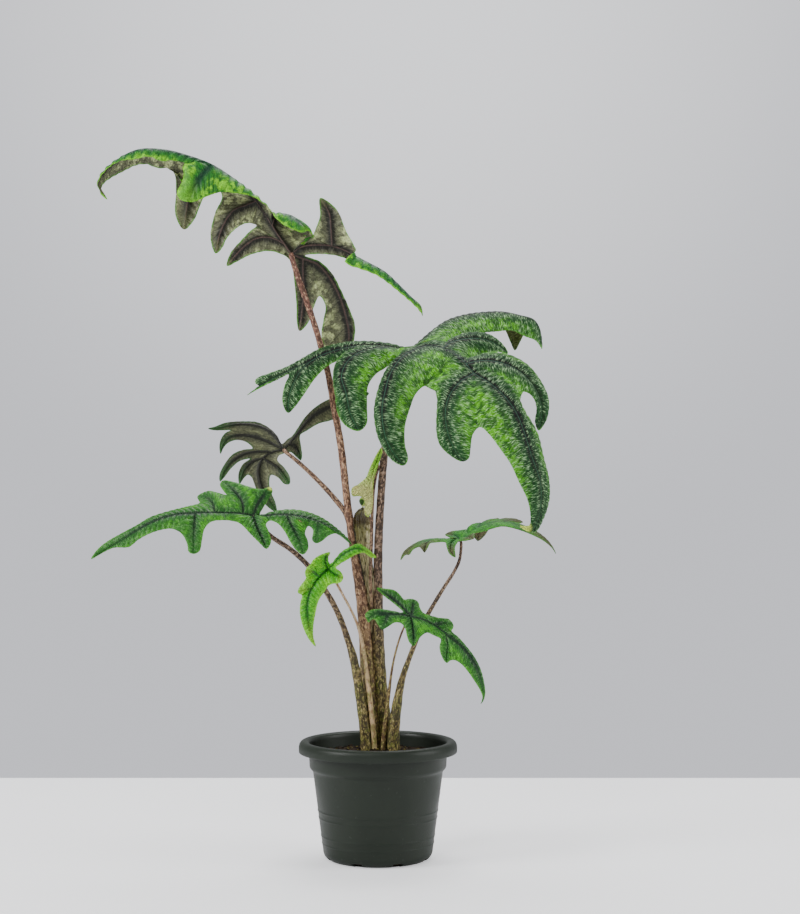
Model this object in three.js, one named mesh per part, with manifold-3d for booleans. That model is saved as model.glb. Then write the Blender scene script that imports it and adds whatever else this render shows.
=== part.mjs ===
// A potted Alocasia tandurusa: seven deeply lobed leaves and one new leaf on mottled stalks,
// in a round nursery pot filled with potting mix.
// Millimetres, +Z up, +X to the right of the viewer, +Y away from the viewer.
// The origin is the centre of the pot's underside.
import * as THREE from 'three';
import { mergeVertices } from 'three/addons/utils/BufferGeometryUtils.js';
import Module from 'manifold-3d';

// Pot
const POT_HEIGHT = 142;
const RIM_RADIUS = 95;
const FOOT_RADIUS = 66;
const FLOOR = 2;
const POT_SIDES = 40;
const NOTCH_COUNT = 8;
const NOTCH_WIDTH = 13;
const NOTCH_RISE = 5;
const NOTCH_DEPTH = 12;
const RING_HEIGHTS = [20.4, 29.4, 51, 59.4];
const RING_HALF_WIDTH = 1.4;
const RING_RELIEF = 0.6;

// The pot's wall as [radius, height]: from the foot up the outside, over the rolled rim, down inside
const FOOT = [[0, 0], [55.5, 0], [60.4, 1.3], [64, 4.8], [65.6, 8.6], [FOOT_RADIUS, 12]];
const COLLAR = [[77.4, 101], [78, 106], [82, 110], [83.4, 137.8]];
const LIP = [[91, 138.2], [93.2, 135.5], [93.2, 128], [RIM_RADIUS, 128], [RIM_RADIUS, 136], [93.6, 139.8],
  [90.6, POT_HEIGHT], [86.5, POT_HEIGHT], [83, 140.8], [81.6, 137.5]];
const INSIDE = [[80.2, 110.6], [76.2, 106.8], [75.6, 101], [64.2, 12], [62.2, 6.4], [59.2, 3.4],
  [55.5, FLOOR]];

// Potting mix. Its waves are [height, turn per millimetre across, turn per millimetre back].
const MIX_LEVEL = 124;
const MOUND_HEIGHT = 9;
const MOUND_REACH = 38;
const MIX_SIDES = 32;
const MIX_RINGS = [68, 56, 44, 34, 25, 16, 8];
const MIX_WAVES = [[0.9, 0.31, 0.27], [0.6, 0.13, -0.19]];

// Clearance between pieces that touch on the real plant
const GAP = 0.3;
const ROOM = 0.45;

// Blades
const BLADE_THICKNESS = 1.1;
const RIB_RELIEF = 0.7;
const SWELL = 0.13;
const ROWS = [0, 0.22, 0.6, 1];
const SPAN_STEPS = 16;
const MARGIN_STEPS = 36;
const FOLD_STEP = 20;
const FINEST_EDGE = 5;

// Stalks
const STALK_SIDES = 8;
const STALK_STEP = 26;

// A landmark is [across, down, behind]. Across and down are steps in an upright picture plane
// through the pot's axis, read by an eye in front of it. Behind is in millimetres past that plane.
const STEP = 1.2;
const EYE = { x: 26.4, z: 481.8, distance: 2400 };
const EYE_ACROSS = 400;
const EYE_DOWN = 457;

function place([across, down, behind]) {
  const step = STEP * (1 + behind / EYE.distance);
  return new THREE.Vector3(
    EYE.x + (across - EYE_ACROSS) * step,
    behind,
    EYE.z + (EYE_DOWN - down) * step,
  );
}

// A blade is a list of lobes in order round its margin, starting with the tip.
// rib: from where the lobe's rib leaves its parent rib to the lobe's point.
// edge: the margin from that point to the next lobe's point, with the notch at index notch.
// on: the parent rib, where that isn't the midrib. side: which way round the lobes run.
// step: how far apart the rows of facets are.
const BLADES = {
  blade_top: {
    slot: 'blade_underside', side: 1, step: 17,
    lobes: [
      {
        name: 'tip', notch: 7,
        rib: [[290.7, 254, -3], [278, 235, 4], [265, 214, 9], [256, 201, 9], [246, 188, 4], [231, 176, -4],
          [212, 164, -10], [188, 155, -14], [166, 149.5, -16], [137, 149.5, -18], [112, 163.5, -20],
          [98.5, 181, -22], [107, 199.5, -24]],
        edge: [[100.5, 193, -20], [103.5, 184, -12], [111, 178, -7], [124.7, 170.7, -1], [135.6, 165.5, 3],
          [147, 164.3, 7], [157, 168, 9], [168, 168.5, 11], [174.5, 174, 12], [176, 191, 12],
          [175.5, 215, 8]],
      },
      {
        name: 'far_fore', notch: 3,
        rib: [[203, 160.5, -12], [197, 170, 2], [190, 186, 9], [187, 206, 9], [184, 229.5, 4]],
        edge: [[194, 220, 6], [199.5, 207, 10], [204, 197, 13], [214, 185, 14], [222, 196, 14],
          [215, 213, 11], [210.5, 234, 4], [212.5, 248, -3]],
      },
      {
        name: 'far_mid', notch: 4,
        rib: [[256, 201, 9], [246, 205, 10], [234, 210, 8], [225, 222, 4], [219, 237, -2],
          [216, 253.5, -8]],
        edge: [[222, 248, -7], [227, 238, -4], [238, 227, 0], [248, 223, 3], [256.5, 225.5, 5],
          [250, 231, 3],
          [240.5, 241, -2], [230.5, 253, -9]],
      },
      {
        name: 'far_back', notch: 4,
        rib: [[283, 243, 1], [272, 238, 2], [258, 238, 0], [246, 245, -5], [236, 255, -11],
          [227, 266, -16]],
        edge: [[237, 261.5, -14], [251, 254.5, -9], [269, 251, -4], [283, 254.8, -1], [289.5, 259.5, 1],
          [292.5, 268, 6], [294.5, 283, 11], [296.5, 305, 16], [297, 322, 17]],
      },
      {
        name: 'heel_small', on: 'heel_long', notch: 2,
        rib: [[303, 259, 5], [303, 272, 10], [304, 290, 15], [302, 312, 18], [299.5, 331, 18]],
        edge: [[308, 323, 19], [313.5, 308, 20], [319.5, 296, 19], [325.5, 306, 20], [323.5, 320, 22],
          [321.5, 335, 24], [325, 347, 24]],
      },
      {
        name: 'heel_long', notch: 6,
        rib: [[290.7, 254, -3], [303, 259, 5], [318, 265, 12], [331, 280, 17], [340, 298, 20],
          [346, 317, 23], [349, 336, 25], [346, 356, 25]],
        edge: [[353.5, 342, 28], [355, 325, 28], [349.5, 309, 25], [342, 292, 22], [332.5, 274, 18],
          [320, 261.5, 14], [305, 255.5, 6], [322, 254, 6], [338, 256, 5], [352, 261, 7], [368, 268, 8],
          [385, 278, 6], [400, 291, 2], [415, 305, -4]],
      },
      {
        name: 'side_long', notch: 8,
        rib: [[290.7, 254, -3], [301, 247, 4], [316, 245, 8], [332, 246, 10], [345, 250.5, 9],
          [357, 256.5, 4],
          [368, 262, 0], [385, 271.5, -3], [397, 282.5, -5], [411, 296.5, -7], [421, 306, -9],
          [423, 316, -11]],
        edge: [[417, 308, -14], [399, 292, -13], [378, 276, -13], [362, 269.5, -13], [350, 265.5, -12],
          [344.5, 261.5, -10], [349, 256, -9], [355.5, 250.5, -4],
          [353.5, 244.5, 4], [346, 231, 8], [338, 211.5, 9], [328, 201.5, 9]],
      },
      {
        name: 'side_up', on: 'side_long', notch: 2,
        rib: [[332, 246, 10], [331, 230, 12], [329, 213, 12], [320, 198, 8]],
        edge: [[320, 216, 10], [316, 228, 9], [312.5, 237, 7], [313.5, 236.5, 2]],
      },
      {
        name: 'curl', notch: 4,
        rib: [[272, 225, 6], [276, 216, 10], [285, 213.5, 8], [294, 218, 3], [301, 223.5, 0],
          [308, 230.5, -2]],
        edge: [[303, 232.5, -6.5], [292, 229, -9], [282, 223.5, -8], [275, 217, -6],
          [268.5, 207.5, 0], [260, 201, -5],
          [251, 196, -10], [238, 193.5, -15], [222, 192, -19], [208, 196, -22], [196, 201, -24]],
      },
      {
        name: 'near_fore', notch: 5,
        rib: [[212, 164, -10], [205, 172, -17], [197, 183, -23], [189, 202, -25]],
        edge: [[179, 198.5, -24], [177, 192, -24], [182, 182, -22], [184, 173, -20], [182.5, 168, -19],
          [185, 163.5, -19], [172, 160.5, -23], [161, 161, -25], [149, 156.5, -27], [133, 159.5, -28],
          [122, 160.5, -29], [110, 166.5, -29], [101, 176, -28], [97.5, 186, -26]],
      },
    ],
  },
  blade_velvet: {
    slot: 'blade_velvet', side: 1, step: 19,
    lobes: [
      {
        name: 'tip', notch: 7,
        rib: [[408, 351, 8], [425, 346, -8], [442.7, 348, -24], [461, 358.5, -44], [474, 373, -58],
          [491, 384, -70], [506, 398, -80], [518, 416, -88], [532, 457, -96], [540, 481, -97],
          [541, 501, -94], [538, 519, -88], [533, 529, -85], [520, 526, -88]],
        edge: [[529, 525.5, -90], [530.5, 517, -95], [527.5, 500, -101], [519, 482, -104],
          [510.6, 464, -104],
          [501, 450, -102], [488, 433, -98], [480, 427, -94], [473, 434, -91], [470.6, 448, -89],
          [469, 458, -86]],
      },
      {
        name: 'fore_left', notch: 6,
        rib: [[474, 373, -58], [460, 382, -68], [450, 394.5, -75], [445.5, 410, -79], [447.5, 431, -82],
          [454, 448, -82], [462, 461.5, -79]],
        edge: [[449, 454.5, -74], [440, 445, -68], [436.6, 433, -63], [436.6, 416, -59], [437, 398, -57],
          [434, 389, -56], [425, 386, -54], [416, 393.5, -56], [410, 408, -60], [405, 426, -63],
          [405, 445, -64], [408, 459, -64]],
      },
      {
        name: 'side_left', notch: 7,
        rib: [[425, 346, -8], [412, 350.5, -24], [401, 358, -42], [390, 374, -55], [384.5, 394, -63],
          [382, 409, -66], [384.5, 433, -68], [391, 449, -67], [404, 465.5, -63]],
        edge: [[393, 461, -60], [383, 448, -55], [377, 434, -51], [374, 413, -48], [376, 397, -46],
          [382, 378, -42], [389, 365.5, -35], [398, 357, -23], [386, 367.5, -28], [376, 374, -37],
          [368, 386, -45], [367, 406, -50], [366.5, 424, -51]],
      },
      {
        name: 'heel_near', on: 'heel_left', notch: 6,
        rib: [[392, 347, 3], [378, 348, -12], [360, 352, -26], [347, 362, -37], [341.5, 376, -44],
          [346, 393, -49], [350.5, 414, -52], [359, 431, -53]],
        edge: [[346, 426, -47], [338, 414, -42], [335, 395, -36], [333, 380, -31], [334.5, 366, -26],
          [342, 354.5, -18], [357, 348.5, -9], [347, 356, -12], [335, 362, -15], [327, 366.5, -17],
          [315, 378.5, -20], [304, 394.5, -22], [294, 408, -22]],
      },
      {
        name: 'heel_left', notch: 2,
        rib: [[408, 351, 8], [392, 347, 5], [365, 345.5, 2], [340, 349, -4], [320, 356, -9],
          [304, 367, -13],
          [295, 380, -16], [289, 397, -19], [288, 413, -21]],
        edge: [[282.5, 402, -17], [284.5, 386, -12], [289, 374.5, -8], [278, 379.5, -9], [263, 386.5, -9]],
      },
      {
        name: 'heel_far', on: 'heel_left', notch: 12,
        rib: [[312, 361, -11], [298, 367, -7], [283, 374, -5], [268, 381.5, -6], [247, 395, -9]],
        edge: [[256, 389, -6], [262.5, 384.5, -4], [255.5, 383.5, -3], [256, 379, -1], [270, 373, 1],
          [286, 367, 3], [300, 359.5, 4], [320, 348.5, 6], [338, 343.5, 9], [355, 341.2, 12],
          [378, 342, 15],
          [398, 346, 16], [410, 351, 14], [418, 344.5, 24], [430, 334, 38], [448, 323, 52], [470, 319, 63],
          [488, 320, 69], [503, 327, 72], [510, 341, 71]],
      },
      {
        name: 'heel_right_sub', on: 'heel_right', notch: 1,
        rib: [[503, 312, 50], [508, 322, 62], [513, 336, 69], [515, 350.5, 70]],
        edge: [[520, 342, 67], [526, 332, 64], [534, 332, 60], [540, 340, 56]],
      },
      {
        name: 'heel_right', notch: 6,
        rib: [[408, 351, 8], [414, 346, 16], [421, 340.5, 25], [431, 331.5, 33], [447, 320.5, 40],
          [466, 314.5, 45], [485, 312, 48], [503, 311.5, 50], [520, 315, 51], [534, 319.5, 51],
          [540, 329, 50], [542, 349, 48]],
        edge: [[536, 341, 43], [524, 336, 38], [512, 330.5, 33], [497, 331.5, 28], [480, 333, 22],
          [462, 337, 14], [447, 341.5, 0], [462, 333.5, 8], [477, 331.7, 14], [491, 335, 16],
          [503, 344.5, 16]],
      },
      {
        name: 'side_right', notch: 3,
        rib: [[442.7, 348, -24], [452, 342, -12], [468, 338.5, -3], [484, 339.5, 4], [498, 345.5, 10],
          [508, 353.5, 14]],
        edge: [[498, 352, 6], [487, 354, -1], [477, 357, -10], [470, 360, -26], [480, 355, -24],
          [491, 352.7, -20], [509, 354.7, -20], [527.5, 364.5, -24], [540, 379.5, -29], [548, 396, -34],
          [549, 408, -38], [546, 421, -45]],
      },
      {
        name: 'fore_right', notch: 4,
        rib: [[466, 363.5, -50], [482, 360.5, -45], [500, 362.5, -42], [518, 370.5, -42], [531, 383, -44],
          [539, 397, -46], [541.5, 413, -48], [538.5, 430.5, -51]],
        edge: [[535, 422, -54], [536.5, 409, -55], [534.5, 400, -56], [529, 393.5, -58], [523, 392, -60],
          [520, 399, -64], [526, 413, -66], [533, 424, -66], [538.5, 436, -65], [543.5, 459, -64],
          [548, 479, -65], [548.5, 500, -68], [543, 519, -74], [536, 531.5, -80], [528, 531.5, -84]],
      },
    ],
  },
  blade_rear: {
    slot: 'blade_underside', side: -1, step: 14,
    lobes: [
      {
        name: 'tip', notch: 4,
        rib: [[283.5, 449.5, 42], [272, 452, 47], [263, 458, 47], [258.5, 469, 44], [260, 483, 39],
          [266, 497, 34], [276.5, 512, 28]],
        edge: [[268, 507, 30], [259, 496, 35], [254, 483, 40], [251.5, 477, 43], [248, 474.8, 43],
          [244, 478, 41]],
      },
      {
        name: 'left_1', notch: 2,
        rib: [[263, 458, 47], [252, 462, 47], [244, 470, 43], [239.5, 484, 37]],
        edge: [[238.5, 474, 40], [243, 464, 45], [250, 458.8, 48], [240, 461, 46], [231, 468.5, 42],
          [224.5, 477, 37]],
      },
      {
        name: 'left_2', notch: 4,
        rib: [[272, 452, 47], [258, 451.5, 49], [245, 453.5, 48], [232, 461, 44], [224.5, 470, 40],
          [220, 481.5, 34]],
        edge: [[219.5, 475, 38], [224, 465, 43], [233, 454, 48], [244, 449.5, 51], [252.5, 448.3, 51],
          [247, 442.5, 50], [237, 440, 47], [228, 443, 43], [223.5, 448, 40]],
      },
      {
        name: 'left_3', notch: 3,
        rib: [[283.5, 449.5, 42], [270, 442.5, 48], [255, 437, 50], [240, 434.5, 48], [228, 437.5, 44],
          [222.5, 445, 40], [220.5, 454, 36]],
        edge: [[219.5, 445, 39], [222, 437, 43], [226, 432.5, 46], [230.5, 430.3, 48], [222, 430.3, 45],
          [214, 430.2, 41]],
      },
      {
        name: 'left_4', notch: 6,
        rib: [[283.5, 449.5, 42], [275, 436, 51], [265, 428.5, 54], [251, 424.5, 54], [235, 424.5, 51],
          [221, 427, 46], [208, 428.5, 40]],
        edge: [[215, 426.5, 44], [226, 422.5, 50], [245, 421.2, 56], [258, 422.3, 58], [270, 428.5, 57],
          [278, 437, 52], [281.8, 444, 48], [287, 439.5, 47], [292, 436, 46], [297, 429, 46],
          [304, 418.5, 47], [313, 409, 49], [325, 401, 51], [338, 396, 52], [354, 392, 53]],
      },
      {
        name: 'heel_long', notch: 4,
        rib: [[283.5, 449.5, 42], [289, 444, 44], [297, 434, 44], [306, 423, 46], [317, 413, 49],
          [332, 406, 52], [351, 399, 54], [369, 393, 55]],
        edge: [[352, 407, 52], [333, 419.5, 48], [319, 423.5, 46], [307, 430.5, 44], [300, 435.5, 45],
          [300.8, 445, 47], [302, 455, 46]],
      },
      {
        name: 'heel_small', on: 'heel_long', notch: 2,
        rib: [[289, 444, 44], [295, 446, 48], [298.5, 453, 48], [301, 460.5, 46]],
        edge: [[297, 457.5, 47], [290.5, 452, 46], [283.5, 453.5, 43], [279, 455.5, 44], [277.3, 460, 44],
          [284.5, 468, 41], [289.8, 477, 36]],
      },
      {
        name: 'right_1', notch: 2,
        rib: [[263, 458, 47], [269, 461.5, 46], [277, 467, 43], [284, 476, 38], [289.5, 484, 34]],
        edge: [[284.5, 484, 35], [278, 477.5, 39], [271, 475, 42], [269.3, 483, 40], [271, 492, 35],
          [275.5, 503, 31]],
      },
    ],
  },
  blade_left: {
    slot: 'blade_green', side: -1, step: 15,
    lobes: [
      {
        name: 'tip', notch: 6,
        rib: [[253, 516, -30], [235, 513.5, -36], [215, 513, -40], [195, 513.5, -44], [175, 515, -48],
          [155, 521, -52], [135, 532, -56], [113, 546, -60], [91, 559, -62]],
        edge: [[103, 552.5, -63], [114, 547.8, -64], [129, 547, -65], [138, 540, -64], [150, 533.5, -63],
          [164, 529.3, -61], [173, 529, -60], [182, 534, -60], [187.5, 545, -61], [188.5, 552, -61]],
      },
      {
        name: 'down_1', notch: 4,
        rib: [[195, 513.5, -44], [194.5, 525, -52], [193.5, 539, -58], [193.5, 554, -61]],
        edge: [[199.5, 551, -60], [202, 540, -58], [204.5, 529, -55], [211, 522, -50], [224, 520.3, -47],
          [239, 523, -46], [251, 534.5, -50], [260, 543.5, -53]],
      },
      {
        name: 'down_2', notch: 3,
        rib: [[253, 516, -30], [256, 525, -40], [261, 536, -47], [266.5, 549, -52]],
        edge: [[271, 542, -50], [268.5, 531, -46], [266, 524.5, -42], [269.5, 520.8, -39], [277, 523, -41],
          [284, 530.5, -46], [291, 543, -50], [296.5, 550.5, -52]],
      },
      {
        name: 'heel_1', on: 'heel', notch: 3,
        rib: [[287, 515, -36], [290, 522, -41], [296, 533, -46], [301, 545, -50], [303, 554.5, -52]],
        edge: [[308, 549, -50], [307.8, 541, -48], [305, 533, -45], [308.5, 526, -42], [313, 530, -42],
          [312.3, 540, -44]],
      },
      {
        name: 'heel_2', on: 'heel', notch: 2,
        rib: [[318, 521.5, -37], [318, 528, -41], [316.5, 536, -43], [316, 543.3, -45]],
        edge: [[322, 541, -43], [328, 536, -40], [335, 533.5, -36], [342, 537, -32]],
      },
      {
        name: 'heel', notch: 6,
        rib: [[253, 516, -30], [262, 516.5, -31], [275, 515, -33], [287, 515, -36], [300, 516.5, -38],
          [318, 521.5, -37], [333, 529.5, -33], [344, 538, -28], [352, 545, -22]],
        edge: [[348.5, 539.5, -21], [335, 527.5, -19], [320, 517.5, -17], [303, 511.3, -17],
          [288, 510, -17],
          [272, 512, -19], [259.5, 515.5, -23], [263, 508, -17], [268.5, 499, -11], [272.5, 491, -7]],
      },
      {
        name: 'up_3', notch: 1,
        rib: [[253, 516, -30], [256, 508, -23], [261, 499, -15], [270.5, 487, -7]],
        edge: [[264, 489, -8], [257, 488.8, -11], [247, 486, -9], [235, 482.3, -5]],
      },
      {
        name: 'up_2', notch: 2,
        rib: [[243, 514.5, -33], [242, 503, -22], [234, 491, -12], [223, 480.5, -4]],
        edge: [[220, 484.5, -6], [223.5, 491, -12], [226.5, 495, -17], [217, 492.5, -14], [208, 491, -12]],
      },
      {
        name: 'up_1', notch: 1,
        rib: [[215, 513, -40], [213, 504, -28], [207, 498, -20], [197.5, 496.3, -14]],
        edge: [[198.5, 500, -19], [199.5, 503, -25], [185, 507, -31], [166, 512, -37], [150, 517.3, -42],
          [137, 525, -47], [121.5, 533.3, -51], [106, 542.3, -56], [97, 550, -60]],
      },
    ],
  },
  blade_lime: {
    slot: 'blade_lime', side: 1, step: 12,
    lobes: [
      {
        name: 'tip', notch: 4,
        rib: [[328, 569, -43], [323, 573.5, -47], [315.5, 581.5, -52], [310, 592, -57], [307.5, 603, -60],
          [307.5, 617, -62], [310.5, 632, -62], [315.8, 646.5, -60]],
        edge: [[309.5, 640, -60], [303.5, 628, -60], [300, 614, -60], [300.5, 602, -60], [302, 595.5, -60]],
      },
      {
        name: 'left_1', notch: 2,
        rib: [[311.5, 588.5, -56], [305, 590, -59], [297.8, 592.5, -61]],
        edge: [[299, 588, -59], [303.5, 582, -57], [306, 578, -56], [305.3, 575.5, -58]],
      },
      {
        name: 'left_2', notch: 1,
        rib: [[319.5, 577, -50], [313, 572, -55], [305, 572, -59]],
        edge: [[306.5, 568, -57], [310.5, 564, -52], [313.5, 559.5, -48], [320.5, 554.8, -43]],
      },
      {
        name: 'heel_left', notch: 1,
        rib: [[328, 569, -43], [325, 562.5, -42], [325.5, 557, -40], [330.3, 552.3, -36]],
        edge: [[328, 557.8, -37], [330, 564.8, -40], [335, 559.3, -38], [341.5, 551.8, -35],
          [350, 546.8, -32],
          [358.5, 543.8, -30], [366.5, 548, -28]],
      },
      {
        name: 'heel_right', notch: 5,
        rib: [[328, 569, -43], [333, 565, -43], [339, 558.3, -42], [347, 552, -40], [357, 548.5, -37],
          [366, 551.5, -33], [376.5, 557.5, -30]],
        edge: [[371, 557.3, -32], [364, 552.8, -35], [356, 554.5, -41], [347, 560, -46], [340, 564, -48],
          [336, 567.8, -49], [341, 572, -51]],
      },
      {
        name: 'right_1', notch: 2,
        rib: [[328, 569, -43], [333, 573, -48], [338, 576, -51], [343.3, 578, -54]],
        edge: [[340, 582.8, -55], [334, 583.6, -55], [329, 585.3, -55], [325, 591, -57], [318.5, 601, -59],
          [315.5, 613, -60], [313.3, 626, -60], [313.3, 637, -60]],
      },
    ],
  },
  blade_right: {
    slot: 'blade_green', side: 1, step: 13,
    lobes: [
      {
        name: 'tip', notch: 7,
        rib: [[461, 541, 6], [468, 534.5, 2], [478, 528.5, -2], [490, 523.5, -4], [503, 522.5, -4],
          [518, 526, -4], [533, 531, -4], [545, 539, -4], [552, 546.5, -4], [556, 553.5, -4]],
        edge: [[551, 547, -8], [543, 540.5, -12], [530, 534, -16], [517, 529.3, -19], [503, 526.5, -22],
          [493, 528.5, -23], [484, 531.5, -22], [476, 533, -18], [474.5, 536, -28]],
      },
      {
        name: 'near_1', notch: 2,
        rib: [[461, 541, 6], [464, 538, -8], [468, 537.3, -21], [473.5, 538.7, -35]],
        edge: [[466, 540.8, -34], [461, 541, -28], [458.5, 541.3, -23], [455, 547.5, -30],
          [455.3, 553, -36]],
      },
      {
        name: 'near_2', notch: 2,
        rib: [[461, 541, 6], [456, 540.5, -8], [451, 543.5, -22], [450.5, 551, -33], [455.5, 557.3, -38]],
        edge: [[449.5, 554, -37], [446.5, 546.5, -31], [445, 542.3, -23], [436, 542.5, -20],
          [430, 543.5, -22], [428, 547.3, -24]],
      },
      {
        name: 'heel_near', on: 'heel', notch: 1,
        rib: [[430, 541, -2], [427, 543.5, -11], [425.5, 547.5, -18], [424.5, 552.5, -24]],
        edge: [[421.5, 549, -22], [419, 547, -18], [412.5, 550.3, -16], [409.5, 554.8, -17],
          [405.5, 555, -13]],
      },
      {
        name: 'heel', notch: 5,
        rib: [[461, 541, 6], [447, 540.3, 3], [430, 541, -2], [418, 544, -5], [408, 550.8, -8],
          [400.5, 560, -9]],
        edge: [[403.5, 552, -3], [412, 545.8, 5], [422, 541.3, 11], [434, 539.5, 14], [444, 539.3, 14],
          [452, 539, 12], [448.5, 537, 22], [445.5, 535.5, 32]],
      },
      {
        name: 'far_1', notch: 2,
        rib: [[461, 541, 6], [457, 537, 18], [451, 535, 30], [445.5, 534, 40]],
        edge: [[452, 531.5, 43], [460, 530.5, 38], [467, 529.5, 28], [471.5, 533, 38], [475, 538.5, 44]],
      },
      {
        name: 'far_2', notch: 2,
        rib: [[478, 528.5, -2], [481, 523, 12], [482.5, 524.5, 26], [481, 532, 38], [478, 541, 44]],
        edge: [[484, 536.5, 43], [490, 528, 36], [498, 520.3, 27], [505, 519.6, 32], [513, 519.2, 37]],
      },
      {
        name: 'far_3', notch: 2,
        rib: [[503, 522.5, -4], [508, 520.8, 10], [515, 520, 24], [523, 521.8, 36]],
        edge: [[520, 523.5, 28], [516, 524, 18], [517.5, 524.3, 12], [528, 527.8, 8], [538, 533, 5],
          [547, 540, 2], [553, 548, -1]],
      },
    ],
  },
  blade_front: {
    slot: 'blade_green', side: 1, step: 14,
    lobes: [
      {
        name: 'tip', notch: 6,
        rib: [[411, 616.5, -44], [427, 621, -50], [440.5, 630.5, -55], [450, 637, -58], [461, 646, -61],
          [470, 657, -63], [476.5, 668, -64], [481.5, 682, -64], [483.6, 694, -63], [480.8, 704, -62]],
        edge: [[482.5, 697, -62], [480.3, 690.5, -63], [474.5, 681, -65], [467.5, 671, -66],
          [461, 663.8, -67], [455, 660.3, -67], [450.5, 660.5, -67]],
      },
      {
        name: 'down_1', notch: 2,
        rib: [[446, 634.3, -57], [447.5, 645, -62], [447.3, 654, -65], [446.5, 663, -67]],
        edge: [[441, 654.5, -66], [439.5, 646, -64], [441, 639.5, -61], [434, 635.5, -59],
          [427, 632.7, -57],
          [421.5, 636, -57], [417.5, 641, -57]],
      },
      {
        name: 'down_2', notch: 3,
        rib: [[411, 616.5, -44], [413, 625, -49], [414, 635, -54], [413.8, 646, -57]],
        edge: [[409.5, 642.5, -56], [407, 636, -54], [405, 628, -51], [400.5, 623, -49],
          [394.5, 622.7, -51],
          [387.5, 627, -53]],
      },
      {
        name: 'heel_sub', on: 'heel_low', notch: 1,
        rib: [[388, 614.5, -49], [385.3, 621, -52], [382, 629.5, -55]],
        edge: [[378.3, 625, -54], [374.5, 619.3, -52], [371.5, 619.8, -53], [368.5, 622.5, -54]],
      },
      {
        name: 'heel_low', notch: 4,
        rib: [[411, 616.5, -44], [402, 614.8, -46], [388, 614.5, -49], [376, 613.5, -51], [367, 620, -54]],
        edge: [[365, 615, -53], [369, 610.7, -50], [379, 609, -46], [391, 610.5, -43], [403.5, 612.7, -40],
          [393, 603, -32], [383, 595, -24]],
      },
      {
        name: 'heel_up', notch: 3,
        rib: [[411, 616.5, -44], [402.5, 607, -36], [391, 597.3, -28], [376.5, 588, -20]],
        edge: [[384, 588.5, -22], [394.5, 590.3, -25], [400, 594.8, -27], [404, 599.5, -29],
          [408.5, 599, -28]],
      },
      {
        name: 'up_1', notch: 2,
        rib: [[411, 616.5, -44], [412.5, 608, -37], [414, 599.3, -29]],
        edge: [[418, 602, -31], [420, 608, -35], [423.5, 613, -40], [431, 615.7, -41], [440, 618, -41],
          [448.5, 619, -41]],
      },
      {
        name: 'up_2', notch: 1,
        rib: [[434, 625.5, -53], [442, 623.5, -48], [453.3, 624.5, -43]],
        edge: [[453, 628.3, -46], [451.5, 631, -51], [458.5, 637.3, -55], [466.5, 646.3, -57],
          [474.5, 657, -59], [480.5, 669, -60], [484.2, 683, -61], [485.2, 694, -61], [483.4, 700.5, -61]],
      },
    ],
  },
  blade_new: {
    slot: 'blade_new', side: 1, step: 12,
    lobes: [
      {
        name: 'tip', notch: 2,
        rib: [[376.4, 463, -8], [371.6, 478, -10], [369.5, 490, -11], [368.5, 503, -11], [367.8, 517, -11]],
        edge: [[365.2, 514, -10], [364.6, 509, -10], [364.2, 505.5, -10], [363, 507, -11]],
      },
      {
        name: 'small', notch: 2,
        rib: [[368.5, 503, -11], [364, 500, -12], [361.5, 506, -13]],
        edge: [[359.3, 502, -13], [359.6, 499, -13], [361.5, 496.8, -12], [357.5, 496, -14],
          [353, 496.3, -15]],
      },
      {
        name: 'left', notch: 3,
        rib: [[369.5, 490, -11], [362, 488, -13], [356.5, 490, -15], [351.3, 492.5, -16]],
        edge: [[352.3, 487.8, -15], [358, 484.5, -12], [363, 480.5, -10], [366.3, 477, -9],
          [369.8, 468, -8],
          [373.5, 460, -8], [377.5, 452.5, -9]],
      },
      {
        name: 'heel', notch: 1,
        rib: [[376.4, 463, -8], [381.2, 447.5, -10]],
        edge: [[382.4, 452, -9], [379.8, 460, -8], [377, 469, -8.5], [374, 479, -9], [373, 490, -9],
          [372.8, 503, -9], [371, 513, -10]],
      },
    ],
  },
};

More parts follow.
